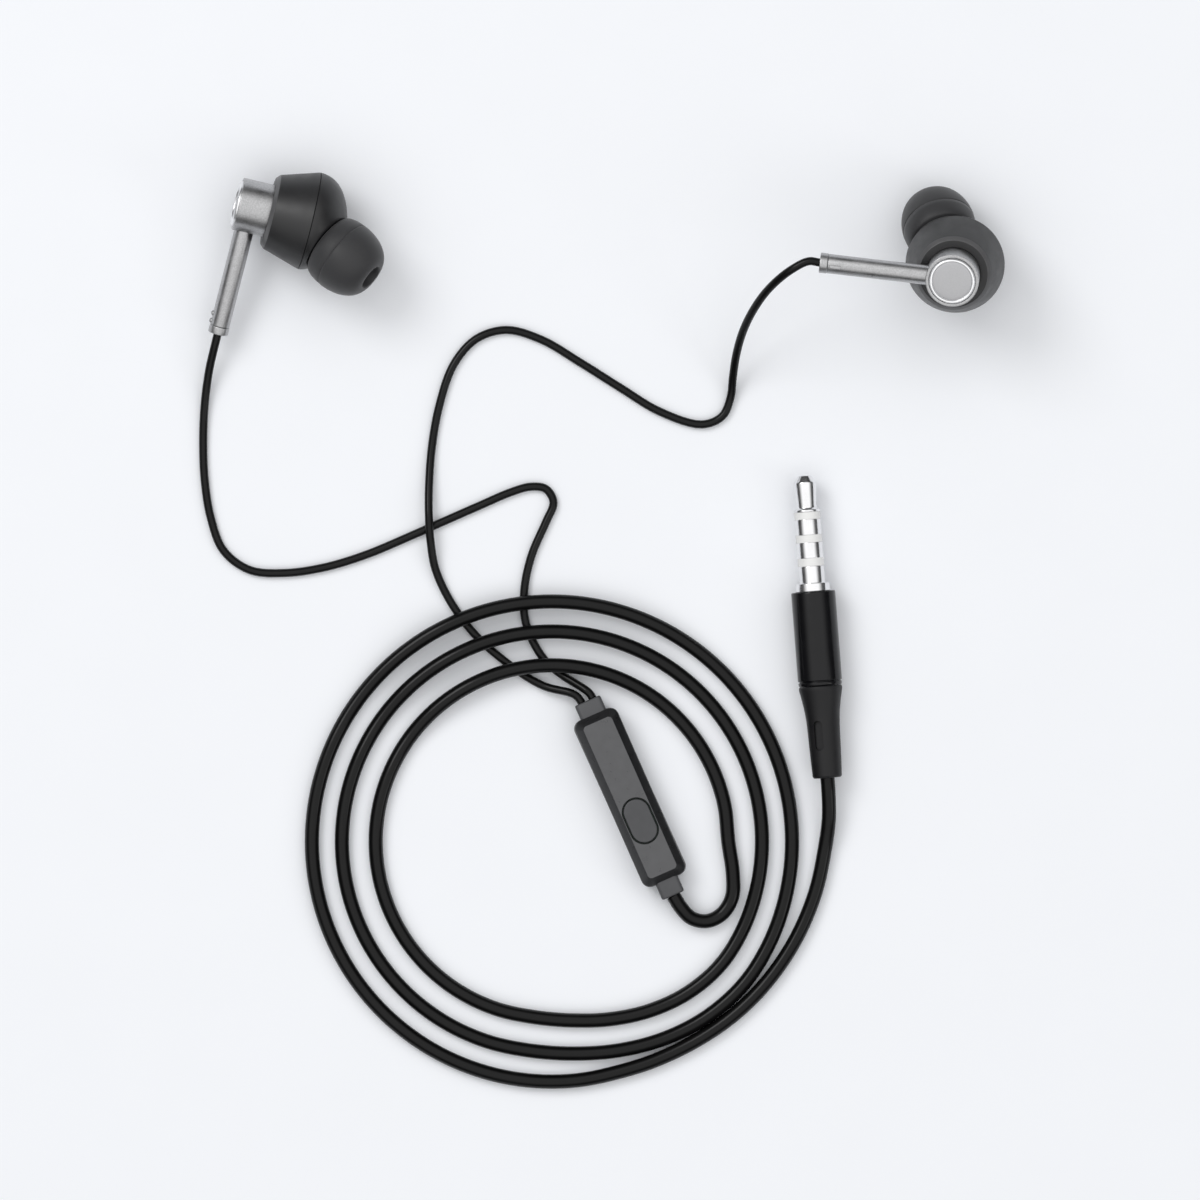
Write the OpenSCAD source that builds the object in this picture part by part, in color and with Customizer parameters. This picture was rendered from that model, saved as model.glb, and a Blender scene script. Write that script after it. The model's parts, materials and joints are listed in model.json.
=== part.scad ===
// Wired in-ear earphones with an in-line remote and a 3.5 mm four-contact plug.
// Millimetres, +Z up, lying on z = 0. The origin is on the floor, midway between the two earbuds.
// An earbud's own axes: +X along its stem, +Z forward towards the ear, z = 0 at the badge's rim.

/* [Earbud barrel and stem] */
// Diameter of the metal barrel behind the housing
barrel_d = 7.1; // [6.6:0.1:8]
// Length of the barrel that shows behind the housing
barrel_len = 4.2; // [4:0.1:6]
// Wall of the barrel
barrel_wall = 0.45; // [0.3:0.05:0.6]
// Depth of the badge's seat in the barrel
badge_seat = 0.3; // [0.2:0.05:0.35]
// Height of the badge's dome above the barrel's rim
badge_rise = 0.35; // [0.1:0.05:0.6]
// Distance of the stem's axis in front of the barrel's rim
stem_z = 1.7; // [1.65:0.05:2]
// Diameter of the stem
stem_d = 2.6; // [2.2:0.1:2.7]
// Length of the stem outside the barrel, with its ferrule
stem_len = 14.2; // [10:0.1:17]
// Bore of the stem
stem_bore = 1.6; // [1.2:0.1:1.8]
// Length of the ferrule on the stem's end
ferrule_len = 1.1; // [0.8:0.1:2]
// How far the ferrule stands out from the stem all round
ferrule_lip = 0.05; // [0:0.05:0.3]

/* [Earbud housing] */
// Diameter of the housing's rear rim
housing_rear_d = 10.1; // [9.9:0.1:11]
// Diameter of the housing at its seam
housing_front_d = 13.2; // [12.6:0.1:14.5]
// Length of the housing from its rear rim to its seam
housing_len = 5.6; // [5.4:0.1:7]
// Wall of the housing
housing_wall = 0.8; // [0.6:0.05:1]
// Diameter of the vent in the housing's rear wall
vent_d = 0.6; // [0.4:0.1:0.7]

/* [Nozzle and ear tip] */
// Distance of the nozzle's root in front of the seam
nozzle_root = 2.85; // [2.6:0.05:3.4]
// Offset of the nozzle's root from the housing's axis
nozzle_offset = 3.08; // [2.6:0.02:3.2]
// Lean of the nozzle away from the housing's axis
nozzle_lean = 32; // [28:1:34]
// Outer diameter of the nozzle at its barb
nozzle_d = 4.6; // [4.2:0.1:5]
// Bore of the nozzle
nozzle_bore = 3.0; // [2.4:0.1:3.2]
// Length of the nozzle
nozzle_len = 5.2; // [4.6:0.1:5.6]
// Largest diameter of the ear tip
tip_d = 9.8; // [9:0.1:11]
// Length of the ear tip
tip_len = 7.8; // [7.6:0.1:10]
// Hole in the ear tip's end
tip_hole = 3.3; // [2.6:0.1:3.6]
// Wall of the ear tip's dome and core
tip_wall = 0.5; // [0.4:0.05:0.6]
// Radial clearance of the ear tip on the nozzle's barb
tip_fit = 0.05; // [0.02:0.01:0.08]

/* [Driver] */
// Diameter of the driver's yoke
yoke_d = 7.2; // [6.8:0.1:7.4]
// Diameter of the magnet
magnet_d = 4.4; // [4:0.1:4.6]
// Travel of the diaphragm each way
cone_travel = 0.15; // [0.05:0.05:0.2]

/* [Remote] */
// Length of the remote's body
remote_len = 24.2; // [22:0.1:32]
// Width of the remote's body
remote_w = 6.25; // [6:0.05:8]
// Height of the remote's body
remote_h = 5.0; // [4.8:0.1:6]
// Width of the bevel round the top face
remote_bevel = 1.07; // [0.6:0.01:1.1]
// Wall of the remote's shells
remote_wall = 0.8; // [0.6:0.05:0.9]
// Length of the button
button_len = 6.0; // [5:0.1:7]
// Width of the button
button_w = 3.47; // [3:0.01:3.6]
// Gap all round the button
button_gap = 0.2; // [0.15:0.05:0.3]
// Travel of the button
button_travel = 0.3; // [0.2:0.05:0.35]

/* [Plug] */
// Diameter of the plug's contacts, which is a standard size
jack_d = 3.5; // [3.5:0.1:3.6]
// Diameter of the plug's barrel
plug_d = 5.9; // [5.6:0.1:8]
// Length of the plug's barrel
plug_len = 12.6; // [10:0.1:16]
// Length of the strain relief boot
boot_len = 12.3; // [9:0.1:16]

/* [Cords] */
// Diameter of the main cord
cord_d = 1.93; // [1.6:0.01:2.2]
// Diameter of each branch cord
branch_d = 1.1; // [0.9:0.01:1.2]
// Radius of the inner turn of the coil
coil_r = 23.5; // [23:0.5:24]

/* [Hidden] */
$fn = 48;

eps = 0.01;
cord_r = cord_d / 2;
branch_r = branch_d / 2;
hull_fn = 32;

// --- where the earbuds lie -------------------------------------------------
// pitch is the forward axis's angle from straight up, yaw its heading, roll the turn about it
left_pitch = 94.6;
left_yaw = -13.5;
left_roll = -78;
right_pitch = 165.9;
right_yaw = 77.4;
right_roll = 83.9;

function spin_z(v, a) = [v.x * cos(a) - v.y * sin(a), v.x * sin(a) + v.y * cos(a), v.z];
function spin_y(v, a) = [v.x * cos(a) + v.z * sin(a), v.y, v.z * cos(a) - v.x * sin(a)];
function turned(v, pitch, yaw, roll) = spin_z(spin_y(spin_z(v, roll), pitch), yaw);
function left_turned(v) = turned(v, left_pitch, left_yaw, left_roll);
function right_turned(v) = turned(v, right_pitch, right_yaw, right_roll);

barrel_r = barrel_d / 2;
barrel_floor = 0.4;
badge_clear = 0.05;
badge_r = barrel_r - barrel_wall - badge_clear;
stem_r = stem_d / 2;
stem_end = barrel_r + stem_len;
stem_spigot = 0.85;
cord_grip = 0.15;
rear_r = housing_rear_d / 2;
front_r = housing_front_d / 2;
seam_z = barrel_len + housing_len;
rear_wall = 0.9;
lip_len = 0.8;
lip_wall = 0.7;
lip_t = 0.6;
bore_r = front_r - housing_wall;
nozzle_r = nozzle_d / 2;

// the nozzle leans 52.65 degrees round from the stem, to one side on the left earbud and the other on the right
lean_heading = 52.65;
root_z = seam_z + nozzle_root;
collar_r = 4.15;
tip_r = tip_d / 2;
tip_lift = 0.3;
tip_lip = 1.9 / 3.3 * tip_hole;
tip_waist = 3.0;
tip_skirt_in = tip_r - collar_r;

function nozzle_axis(side) = [sin(nozzle_lean) * cos(lean_heading), side * sin(nozzle_lean) * sin(lean_heading),
                              cos(nozzle_lean)];
function nozzle_foot(side) = [nozzle_offset * cos(lean_heading), side * nozzle_offset * sin(lean_heading), root_z];

// the left earbud rests on its seam, and the right one stands on its ear tip
seam_band = 0.2;
left_at = [-49.0, 6.75, front_r * sin(left_pitch) - (seam_z + seam_band) * cos(left_pitch)];
tip_down = -right_turned(nozzle_axis(1)).z;
tip_across = sqrt(1 - tip_down * tip_down);
tip_reach = tip_lip * tip_across
          + sqrt(pow((tip_r - tip_lip) * tip_across, 2) + pow((tip_len - tip_waist) * tip_down, 2));
right_at = [45.9, -3.7, tip_reach - right_turned(nozzle_foot(1) + tip_waist * nozzle_axis(1)).z];

module on_left() translate(left_at) rotate([0, left_pitch, left_yaw]) rotate([0, 0, left_roll]) children();
module on_right() translate(right_at) rotate([0, right_pitch, right_yaw]) rotate([0, 0, right_roll]) children();
module on_nozzle(side)
    translate(nozzle_foot(side)) rotate([0, 0, side * lean_heading]) rotate([0, nozzle_lean, 0]) children();

module disc(r, z0, z1) translate([0, 0, z0]) cylinder(r = r, h = z1 - z0);
module ring_of(r_out, r_in, z0, z1) difference() {
    disc(r_out, z0, z1);
    disc(r_in, z0 - 1, z1 + 1);
}
module along_stem(r, x0, x1) translate([x0, 0, stem_z]) rotate([0, 90, 0]) cylinder(r = r, h = x1 - x0);

// --- earbud: what shows ----------------------------------------------------
module badge() color("lightgray") rotate_extrude() polygon(concat(
    [[0, badge_seat], [badge_r, badge_seat], [badge_r, 0]],
    [for (a = [15:15:90]) [badge_r * cos(a), -badge_rise * sin(a)]]));

module rear_barrel() color("silver") difference() {
    disc(barrel_r, 0, barrel_len + rear_wall);
    disc(barrel_r - barrel_wall, -1, badge_seat);
    disc(barrel_r - barrel_wall, badge_seat + barrel_floor, barrel_len + rear_wall + 1);
    along_stem(stem_r, barrel_r - stem_spigot, barrel_r + 1);
}

pip_r = 0.3;
pip_gap = 1.05;
pip_from_end = 1.5;
module stem_marks(side) {
    if (side < 0)
        for (i = [0, 1])
            translate([stem_end - pip_from_end - i * pip_gap, 0, stem_z - stem_r]) sphere(r = pip_r, $fn = 24);
    else
        translate([stem_end - pip_from_end - pip_gap, 0, stem_z - stem_r])
            translate([-pip_r, -pip_r / 2, -pip_r / 2]) cube([pip_gap + 2 * pip_r, pip_r, pip_r]);
}
module stem_tube(side) color("gray") difference() {
    union() {
        along_stem(stem_r, barrel_r - stem_spigot, stem_end - ferrule_len);
        intersection() {
            stem_marks(side);
            along_stem(stem_r + pip_r, barrel_r, stem_end - ferrule_len);
        }
    }
    along_stem(stem_bore / 2, 0, stem_end);
}
module stem_ferrule() color("dimgray") difference() {
    along_stem(stem_r + ferrule_lip, stem_end - ferrule_len, stem_end);
    along_stem(branch_r - cord_grip, stem_end - ferrule_len - 1, stem_end + 1);
}

rim_bevel = 0.3;
vent_r = (barrel_r + rear_r) / 2;
module rear_housing() color("#222222") difference() {
    rotate_extrude() polygon([
        [barrel_r, barrel_len], [rear_r - rim_bevel, barrel_len], [rear_r, barrel_len + rim_bevel],
        [front_r, seam_z], [bore_r, seam_z], [bore_r, seam_z - 2 * lip_len],
        [rear_r - housing_wall, barrel_len + rear_wall], [barrel_r, barrel_len + rear_wall]]);
    translate([-vent_r, 0, barrel_len - 1]) cylinder(d = vent_d, h = rear_wall + 2);
    vent_filter();
}

// outline of the cap as three round sections: at the seam, over its shoulder and at the nozzle's collar
shoulder = [[2.34, 5.0, -1.16], [3.2, 3.6, -1.29]];
module cap_outline(side, inset) hull() {
    translate([0, 0, seam_z]) cylinder(r = front_r - inset, h = seam_band, $fn = hull_fn);
    for (s = shoulder)
        rotate([0, 0, side * lean_heading])
            translate([s[2], 0, seam_z + s[0] - inset]) cylinder(r = s[1] - inset, h = eps, $fn = hull_fn);
    on_nozzle(side) translate([0, 0, -0.2 - inset]) cylinder(r = collar_r - inset, h = 0.2, $fn = hull_fn);
}
barb_len = 0.8;
barb_step = 0.12;
mesh_r = 1.9;
mesh_t = 0.15;
module front_cap(side) color("#262626") difference() {
    union() {
        difference() {
            cap_outline(side, 0);
            cap_outline(side, housing_wall);
        }
        ring_of(bore_r + seam_band, bore_r - lip_wall, seam_z, seam_z + lip_t);
        ring_of(bore_r, bore_r - lip_wall, seam_z - lip_len, seam_z + eps);
        on_nozzle(side) disc(nozzle_r - barb_step, -housing_wall, nozzle_len);
        on_nozzle(side) disc(nozzle_r, nozzle_len - 2 * barb_len, nozzle_len - barb_len);
    }
    on_nozzle(side) disc(nozzle_bore / 2, -4, nozzle_len + 1);
    on_nozzle(side) disc(mesh_r, nozzle_len - mesh_t, nozzle_len + 1);
}
module nozzle_mesh(side) color("silver") on_nozzle(side) disc(mesh_r, nozzle_len - mesh_t, nozzle_len);
damper_len = 1.2;
module damper(side) color("tan") on_nozzle(side)
    disc(nozzle_bore / 2, nozzle_len - mesh_t - damper_len - 0.3, nozzle_len - mesh_t - 0.3);

// the dome is part of an ellipse from the waist to the lip, and the skirt part of another below the waist
function dome(inset) = [for (a = [0:10:90])
    [tip_lip + (tip_r - inset - tip_lip) * cos(a), tip_waist + (tip_len - inset - tip_waist) * sin(a)]];
function skirt(inset) = [for (a = [90:-15:15])
    [tip_r - inset - tip_skirt_in * (1 - cos(a)), tip_waist - (tip_waist - tip_lift) * sin(a)]];
core_in = nozzle_r + tip_fit;
core_top = nozzle_len + 0.4;
module ear_tip(side) color("#3a3a3a") on_nozzle(side) rotate_extrude($fn = 64) difference() {
    polygon(concat([[0, tip_lift]], skirt(0), dome(0), [[0, tip_len]]));
    difference() {
        polygon(concat([[0, tip_lift - eps]], [[tip_r - tip_wall - tip_skirt_in, tip_lift - eps]],
                       skirt(tip_wall), dome(tip_wall), [[0, tip_len - tip_wall]]));
        square([core_in + tip_wall, tip_len]);
    }
    square([core_in, core_top]);
    square([tip_hole / 2, tip_len + 1]);
}

// --- earbud: what is inside ------------------------------------------------
driver_front = seam_z - 0.3;
driver_r = bore_r - lip_wall;
frame_wall = 0.3;
yoke_r = yoke_d / 2;
yoke_wall = 0.45;
yoke_back = driver_front - 2.5;
yoke_floor = 0.4;
magnet_r = magnet_d / 2;
magnet_h = 1.0;
plate_h = 0.4;
yoke_top = yoke_back + yoke_floor + magnet_h + plate_h;
coil_gap = 0.2;
coil_t = 0.3;
coil_in = magnet_r + 0.1 + coil_gap;
cone_z = yoke_top + cone_travel + 0.15;
cone_r = driver_r - frame_wall - 0.2;
cone_t = 0.12;
module driver_frame() color("goldenrod") {
    ring_of(driver_r, driver_r - frame_wall, yoke_top - 0.8, driver_front);
    ring_of(driver_r - frame_wall, yoke_r, yoke_top - 0.8, yoke_top - 0.3);
}
module driver_yoke() color("silver") difference() {
    disc(yoke_r, yoke_back, yoke_top);
    disc(yoke_r - yoke_wall, yoke_back + yoke_floor, yoke_top + 1);
}
module driver_magnet() color("gray") disc(magnet_r, yoke_back + yoke_floor, yoke_back + yoke_floor + magnet_h);
module driver_top_plate() color("silver") disc(magnet_r + 0.1, yoke_top - plate_h, yoke_top);
module diaphragm() color("ivory") rotate_extrude() polygon([
    [0, cone_z + 0.45], [coil_in, cone_z], [cone_r, cone_z], [cone_r, cone_z + cone_t],
    [coil_in + coil_t, cone_z + cone_t], [0, cone_z + 0.45 + cone_t]]);
module voice_coil() color("orangered") ring_of(coil_in + coil_t, coil_in, yoke_top - plate_h - 0.2, cone_z);
module driver_board() color("green") disc(2.4, yoke_back - 0.4, yoke_back);
module vent_filter() color("white")
    translate([-vent_r, 0, barrel_len + rear_wall]) cylinder(d = vent_d + 0.3, h = 0.15);
knot_r = 1.0;
module cord_knot() color("black") translate([barrel_r - stem_spigot - knot_r - 0.05, 0, stem_z + 0.3])
    sphere(r = knot_r);

module left_badge() on_left() badge();
module left_rear_barrel() on_left() rear_barrel();
module left_stem_tube() on_left() stem_tube(-1);
module left_stem_ferrule() on_left() stem_ferrule();
module left_rear_housing() on_left() rear_housing();
module left_front_cap() on_left() front_cap(-1);
module left_nozzle_mesh() on_left() nozzle_mesh(-1);
module left_damper() on_left() damper(-1);
module left_ear_tip() on_left() ear_tip(-1);
module left_driver_frame() on_left() driver_frame();
module left_driver_yoke() on_left() driver_yoke();
module left_driver_magnet() on_left() driver_magnet();
module left_driver_top_plate() on_left() driver_top_plate();
module left_diaphragm() on_left() diaphragm();
module left_voice_coil() on_left() voice_coil();
module left_driver_board() on_left() driver_board();
module left_vent_filter() on_left() vent_filter();
module left_cord_knot() on_left() cord_knot();
module right_badge() on_right() badge();
module right_rear_barrel() on_right() rear_barrel();
module right_stem_tube() on_right() stem_tube(1);
module right_stem_ferrule() on_right() stem_ferrule();
module right_rear_housing() on_right() rear_housing();
module right_front_cap() on_right() front_cap(1);
module right_nozzle_mesh() on_right() nozzle_mesh(1);
module right_damper() on_right() damper(1);
module right_ear_tip() on_right() ear_tip(1);
module right_driver_frame() on_right() driver_frame();
module right_driver_yoke() on_right() driver_yoke();
module right_driver_magnet() on_right() driver_magnet();
module right_driver_top_plate() on_right() driver_top_plate();
module right_diaphragm() on_right() diaphragm();
module right_voice_coil() on_right() voice_coil();
module right_driver_board() on_right() driver_board();
module right_vent_filter() on_right() vent_filter();
module right_cord_knot() on_right() cord_knot();

// --- remote: +X runs along it from the branch cords to the main cord --------
remote_at = [3.2, -72.3, 0];
remote_yaw = -65.7;
remote_corner = 1.2;
split_z = 2.4;
top_collar = [2.0, 3.7, 2.4];
bottom_collar = [2.2, 3.2, 2.8];
collar_lip = 0.5;
branch_pitch = 1.56;
button_x = 3.4;
module on_remote() translate(remote_at) rotate([0, 0, remote_yaw]) children();
function remote_point(v) = remote_at + spin_z(v, remote_yaw);

module rounded_plate(l, w, r, h) linear_extrude(h) {
    square([l - 2 * r, w], center = true);
    square([l, w - 2 * r], center = true);
    for (x = [-1, 1], y = [-1, 1]) translate([x * (l / 2 - r), y * (w / 2 - r)]) circle(r = r);
}
module stadium(l, w, h) linear_extrude(h) {
    square([l - w, w], center = true);
    for (x = [-1, 1]) translate([x * (l - w) / 2, 0]) circle(d = w);
}
module grommet_shape(size, end, extra) {
    x = end * (remote_len / 2);
    translate([x + end * size[0] / 2, 0, split_z])
        cube([size[0] + eps, size[1] + extra, size[2] + extra], center = true);
    translate([x - end * remote_wall / 2, 0, split_z])
        cube([remote_wall + 2 * eps, size[1] + extra, size[2] + extra], center = true);
}
module grommet_inside(size, end) translate([end * (remote_len / 2 - remote_wall - collar_lip / 2), 0, split_z])
    cube([collar_lip, size[1] + 0.6, size[2] + 0.4], center = true);
module remote_pocket(z0, z1) translate([0, 0, z0])
    rounded_plate(remote_len - 2 * remote_wall, remote_w - 2 * remote_wall, remote_corner - remote_wall / 2, z1 - z0);
module remote_ends() {
    grommet_shape(top_collar, -1, 0);
    grommet_shape(bottom_collar, 1, 0);
    grommet_inside(top_collar, -1);
    grommet_inside(bottom_collar, 1);
}

top_wall = 0.9;
pocket_bevel = 0.3;
module remote_top_shell() color("#404040") on_remote() difference() {
    hull() {
        translate([0, 0, split_z]) rounded_plate(remote_len, remote_w, remote_corner, 1.2, $fn = hull_fn);
        translate([0, 0, remote_h - eps]) rounded_plate(remote_len - 2 * remote_bevel,
            remote_w - 2 * remote_bevel, remote_corner / 2, eps, $fn = hull_fn);
    }
    hull() {
        remote_pocket(split_z - 1, split_z + 1.0);
        translate([0, 0, split_z]) rounded_plate(remote_len - 2 * remote_wall - 2 * pocket_bevel,
            remote_w - 2 * remote_wall - 2 * pocket_bevel, 0.4, remote_h - split_z - top_wall, $fn = hull_fn);
    }
    translate([button_x, 0, split_z]) stadium(button_len + 2 * button_gap, button_w + 2 * button_gap, remote_h);
    remote_ends();
}
floor_t = 0.8;
mic_port = 0.7;
mic_x = -6.5;
module remote_bottom_shell() color("#383838") on_remote() difference() {
    rounded_plate(remote_len, remote_w, remote_corner, split_z);
    remote_pocket(floor_t, split_z + 1);
    remote_ends();
    translate([mic_x, 0, -1]) cylinder(d = mic_port, h = floor_t + 2);
}
board_z = 1.3;
board_t = 0.5;
board_gap = 1.2;
module remote_circuit_board() color("darkgreen") on_remote() difference() {
    translate([0, 0, board_z]) rounded_plate(remote_len - 2 * remote_wall - 2 * board_gap,
        remote_w - 2 * remote_wall - 0.2, 0.3, board_t);
    translate([mic_x, 0, 0]) cylinder(d = mic_port, h = 5);
}
switch_h = 0.8;
plunger_h = 0.45;
switch_top = board_z + board_t + switch_h;
module remote_switch_body() color("black") on_remote() difference() {
    translate([button_x - 1.5, -1.3, board_z + board_t]) cube([3, 2.6, switch_h]);
    translate([button_x, 0, switch_top - 0.4]) cylinder(r = 0.75, h = 1);
}
module remote_switch_plunger() color("white") on_remote()
    translate([button_x, 0, switch_top - 0.05]) cylinder(r = 0.7, h = plunger_h + 0.05);
button_proud = 0.1;
button_flange = 0.35;
flange_t = 0.35;
button_free = 0.05;
nub_r = 0.6;
button_under = switch_top + plunger_h;
flange_z = remote_h - top_wall - button_free - flange_t;
module remote_button() color("#2c2c2c") on_remote() translate([button_x, 0, 0]) {
    translate([0, 0, flange_z]) stadium(button_len, button_w, remote_h + button_proud - flange_z);
    translate([0, 0, flange_z]) stadium(button_len + 2 * button_flange, button_w + 0.3, flange_t);
    translate([0, 0, button_under]) cylinder(r = nub_r, h = flange_z - button_under + eps);
}
module remote_microphone() color("gold") on_remote()
    translate([mic_x - 1.3, -0.9, board_z + board_t]) cube([2.6, 1.8, 0.9]);
module remote_top_grommet() color("#303030") on_remote() difference() {
    union() {
        grommet_shape(top_collar, -1, 0);
        grommet_inside(top_collar, -1);
    }
    for (y = [-1, 1]) translate([-remote_len, y * branch_pitch / 2, split_z]) rotate([0, 90, 0])
        cylinder(r = branch_r - cord_grip, h = remote_len);
}
module remote_bottom_grommet() color("#303030") on_remote() difference() {
    union() {
        grommet_shape(bottom_collar, 1, 0);
        grommet_inside(bottom_collar, 1);
    }
    translate([0, 0, split_z]) rotate([0, 90, 0]) cylinder(r = cord_r - cord_grip, h = remote_len);
}

// --- plug: its own z runs from the boot's end to the tip ---------------------
plug_at = [29.5, -69.7, plug_d / 2];
plug_yaw = 94.4;
jack_r = jack_d / 2;
flange_r = 2.33;
flange_len = 1.1;
sleeve_len = 2.3;
ring_len = 2.1;
gap_len = [1.05, 1.0, 0.95];
ledge_len = 0.35;
tip_body = 3.6;
tip_cone = 0.95;
core_r = 0.8;
sheath_r = 1.2;
boot_r = 1.95;
z_flange = boot_len + plug_len;
z_sleeve = z_flange + flange_len;
z_gap1 = z_sleeve + sleeve_len;
z_ring1 = z_gap1 + gap_len[0];
z_gap2 = z_ring1 + ring_len;
z_ring2 = z_gap2 + gap_len[1];
z_gap3 = z_ring2 + ring_len;
z_tip = z_gap3 + gap_len[2];
module on_plug() translate(plug_at) rotate([0, 0, plug_yaw]) rotate([0, 90, 0]) children();
module turned_outline(points) rotate_extrude() polygon(points);

module plug_tip() color("silver") on_plug() turned_outline([
    [0, z_tip], [jack_r, z_tip], [jack_r, z_tip + ledge_len], [1.38, z_tip + 0.5],
    [1.36, z_tip + 0.9], [1.53, z_tip + 3.7], [1.53, z_tip + ledge_len + tip_body],
    [0.85, z_tip + ledge_len + tip_body + tip_cone], [0, z_tip + ledge_len + tip_body + tip_cone]]);
module plug_front_ring() color("silver") on_plug() ring_of(jack_r, core_r, z_ring2, z_gap3);
module plug_rear_ring() color("silver") on_plug() ring_of(jack_r, core_r, z_ring1, z_gap2);
module plug_sleeve() color("silver") on_plug() {
    ring_of(jack_r, sheath_r, z_sleeve - eps, z_gap1);
    ring_of(flange_r, sheath_r, z_flange, z_sleeve);
    ring_of(sheath_r + 0.6, sheath_r, z_flange - 4, z_flange + eps);
}
module plug_insulators() color("white") on_plug() {
    ring_of(jack_r, core_r, z_gap1, z_ring1);
    ring_of(jack_r, core_r, z_gap2, z_ring2);
    ring_of(jack_r, core_r, z_gap3, z_tip);
    ring_of(sheath_r, core_r, z_flange - 4, z_gap1 + eps);
}
module plug_core() color("gold") on_plug() disc(core_r, z_flange - 5, z_tip);
barrel_shell = 0.8;
plug_groove = 0.3;
module plug_barrel() color("#151515") on_plug() difference() {
    turned_outline([
        [plug_d / 2 - barrel_shell, boot_len], [plug_d / 2, boot_len],
        [plug_d / 2, z_flange - 0.25], [plug_d / 2 - 0.25, z_flange],
        [sheath_r + 0.6, z_flange], [sheath_r + 0.6, z_flange - 2],
        [plug_d / 2 - barrel_shell, z_flange - 2]]);
    ring_of(plug_d, plug_d / 2 - 0.15, boot_len + 0.5, boot_len + 0.5 + plug_groove);
}
boot_slot = [1.2, 4.0];
boot_plug = 2.0;
module plug_boot() color("#1c1c1c") on_plug() difference() {
    union() {
        turned_outline([
            [0, 0], [boot_r, 0], [boot_r + 0.18, boot_len * 0.4], [boot_r + 0.25, boot_len * 0.6],
            [plug_d / 2 - 0.3, boot_len * 0.87], [plug_d / 2 - 0.08, boot_len * 0.95],
            [plug_d / 2 - 0.08, boot_len], [0, boot_len]]);
        disc(plug_d / 2 - barrel_shell, boot_len - eps, boot_len + boot_plug);
    }
    disc(cord_r - cord_grip, -1, boot_len + boot_plug + 1);
    rotate([0, 0, 159]) translate([boot_r - 0.15, -boot_slot[0] / 2, boot_len * 0.3])
        cube([2, boot_slot[0], boot_slot[1]]);
}

// --- cords -------------------------------------------------------------------
lead_in = 1.5;
low = 0.55;
function unit(v) = v / norm(v);
function heading(p, i) = unit(p[min(i + 1, len(p) - 1)] - p[max(i - 1, 0)]);
function around(p, i, r) = let (t = heading(p, i), a = unit(cross([0, 0, 1], t)), b = cross(t, a))
    [for (k = [0:7]) p[i] + r * (cos(45 * k + 22.5) * a + sin(45 * k + 22.5) * b)];
module cord_tube(p, r) {
    n = len(p);
    polyhedron(
        points = [for (i = [0:n - 1]) each around(p, i, r)],
        faces = concat(
            [[for (k = [0:7]) k]],
            [for (i = [0:n - 2], k = [0:7]) each let (a = 8 * i + k, b = 8 * i + (k + 1) % 8)
                [[a, a + 8, b + 8], [a, b + 8, b]]],
            [[for (k = [7:-1:0]) 8 * (n - 1) + k]]));
}

left_exit = left_at + left_turned([stem_end, 0, stem_z]);
right_exit = right_at + right_turned([stem_end, 0, stem_z]);
collar_x = -remote_len / 2 - top_collar[0];
left_path = concat(
    [left_exit, left_exit + lead_in * left_turned([1, 0, 0])],
    [[-52.9, -15.5, 2.0], [-53.5, -20.0, 0.9], [-53.7, -25.0, low], [-53.5, -30.0, low], [-52.7, -35.0, low],
     [-51.0, -39.4, low], [-47.5, -42.0, low], [-42.8, -42.4, low], [-37.3, -41.6, low], [-31.8, -39.9, low],
     [-26.8, -37.8, low], [-21.8, -35.6, low], [-16.8, -33.4, low], [-12.6, -31.6, low], [-10.0, -30.9, low],
     [-8.0, -31.2, low], [-7.0, -33.0, low], [-8.0, -35.6, low], [-9.9, -40.0, low], [-10.9, -44.7, low],
     [-10.7, -49.0, low], [-9.1, -52.7, low], [-7.6, -54.6, 0.6], [-5.7, -56.1, 0.85]],
    [for (p = [[1.35, 0.5], [0.7, 0.87], [0, 1]])
        remote_point([collar_x - p.x, p.y * branch_pitch / 2, split_z - 0.2 * p.x])]);
right_path = concat(
    [right_exit, right_exit + lead_in * right_turned([1, 0, 0])],
    [[24.4, -2.3, 16.6], [21.6, -4.7, 13.8], [19.5, -7.6, 10.4], [18.1, -10.6, 7.0], [17.3, -13.6, 4.1],
     [16.9, -16.4, 2.0], [16.6, -19.0, 0.8], [15.5, -21.5, low], [12.8, -22.6, low], [7.2, -20.9, low],
     [1.9, -17.7, low], [-3.5, -14.3, low], [-8.6, -11.3, low], [-13.3, -10.0, low], [-17.3, -11.2, low],
     [-20.3, -14.6, low], [-22.2, -20.0, low], [-23.2, -25.5, low], [-23.6, -31.0, 1.1], [-23.6, -35.0, 1.75],
     [-23.4, -38.0, 1.75], [-22.7, -42.0, 0.9], [-20.5, -46.6, low], [-17.2, -50.9, low], [-12.1, -55.2, low],
     [-8.2, -57.5, 1.1]],
    [for (p = [[1.78, 2], [0.96, 1.26], [0, 1]])
        remote_point([collar_x - p.x, -p.y * branch_pitch / 2, split_z - 0.2 * p.x])]);

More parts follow.
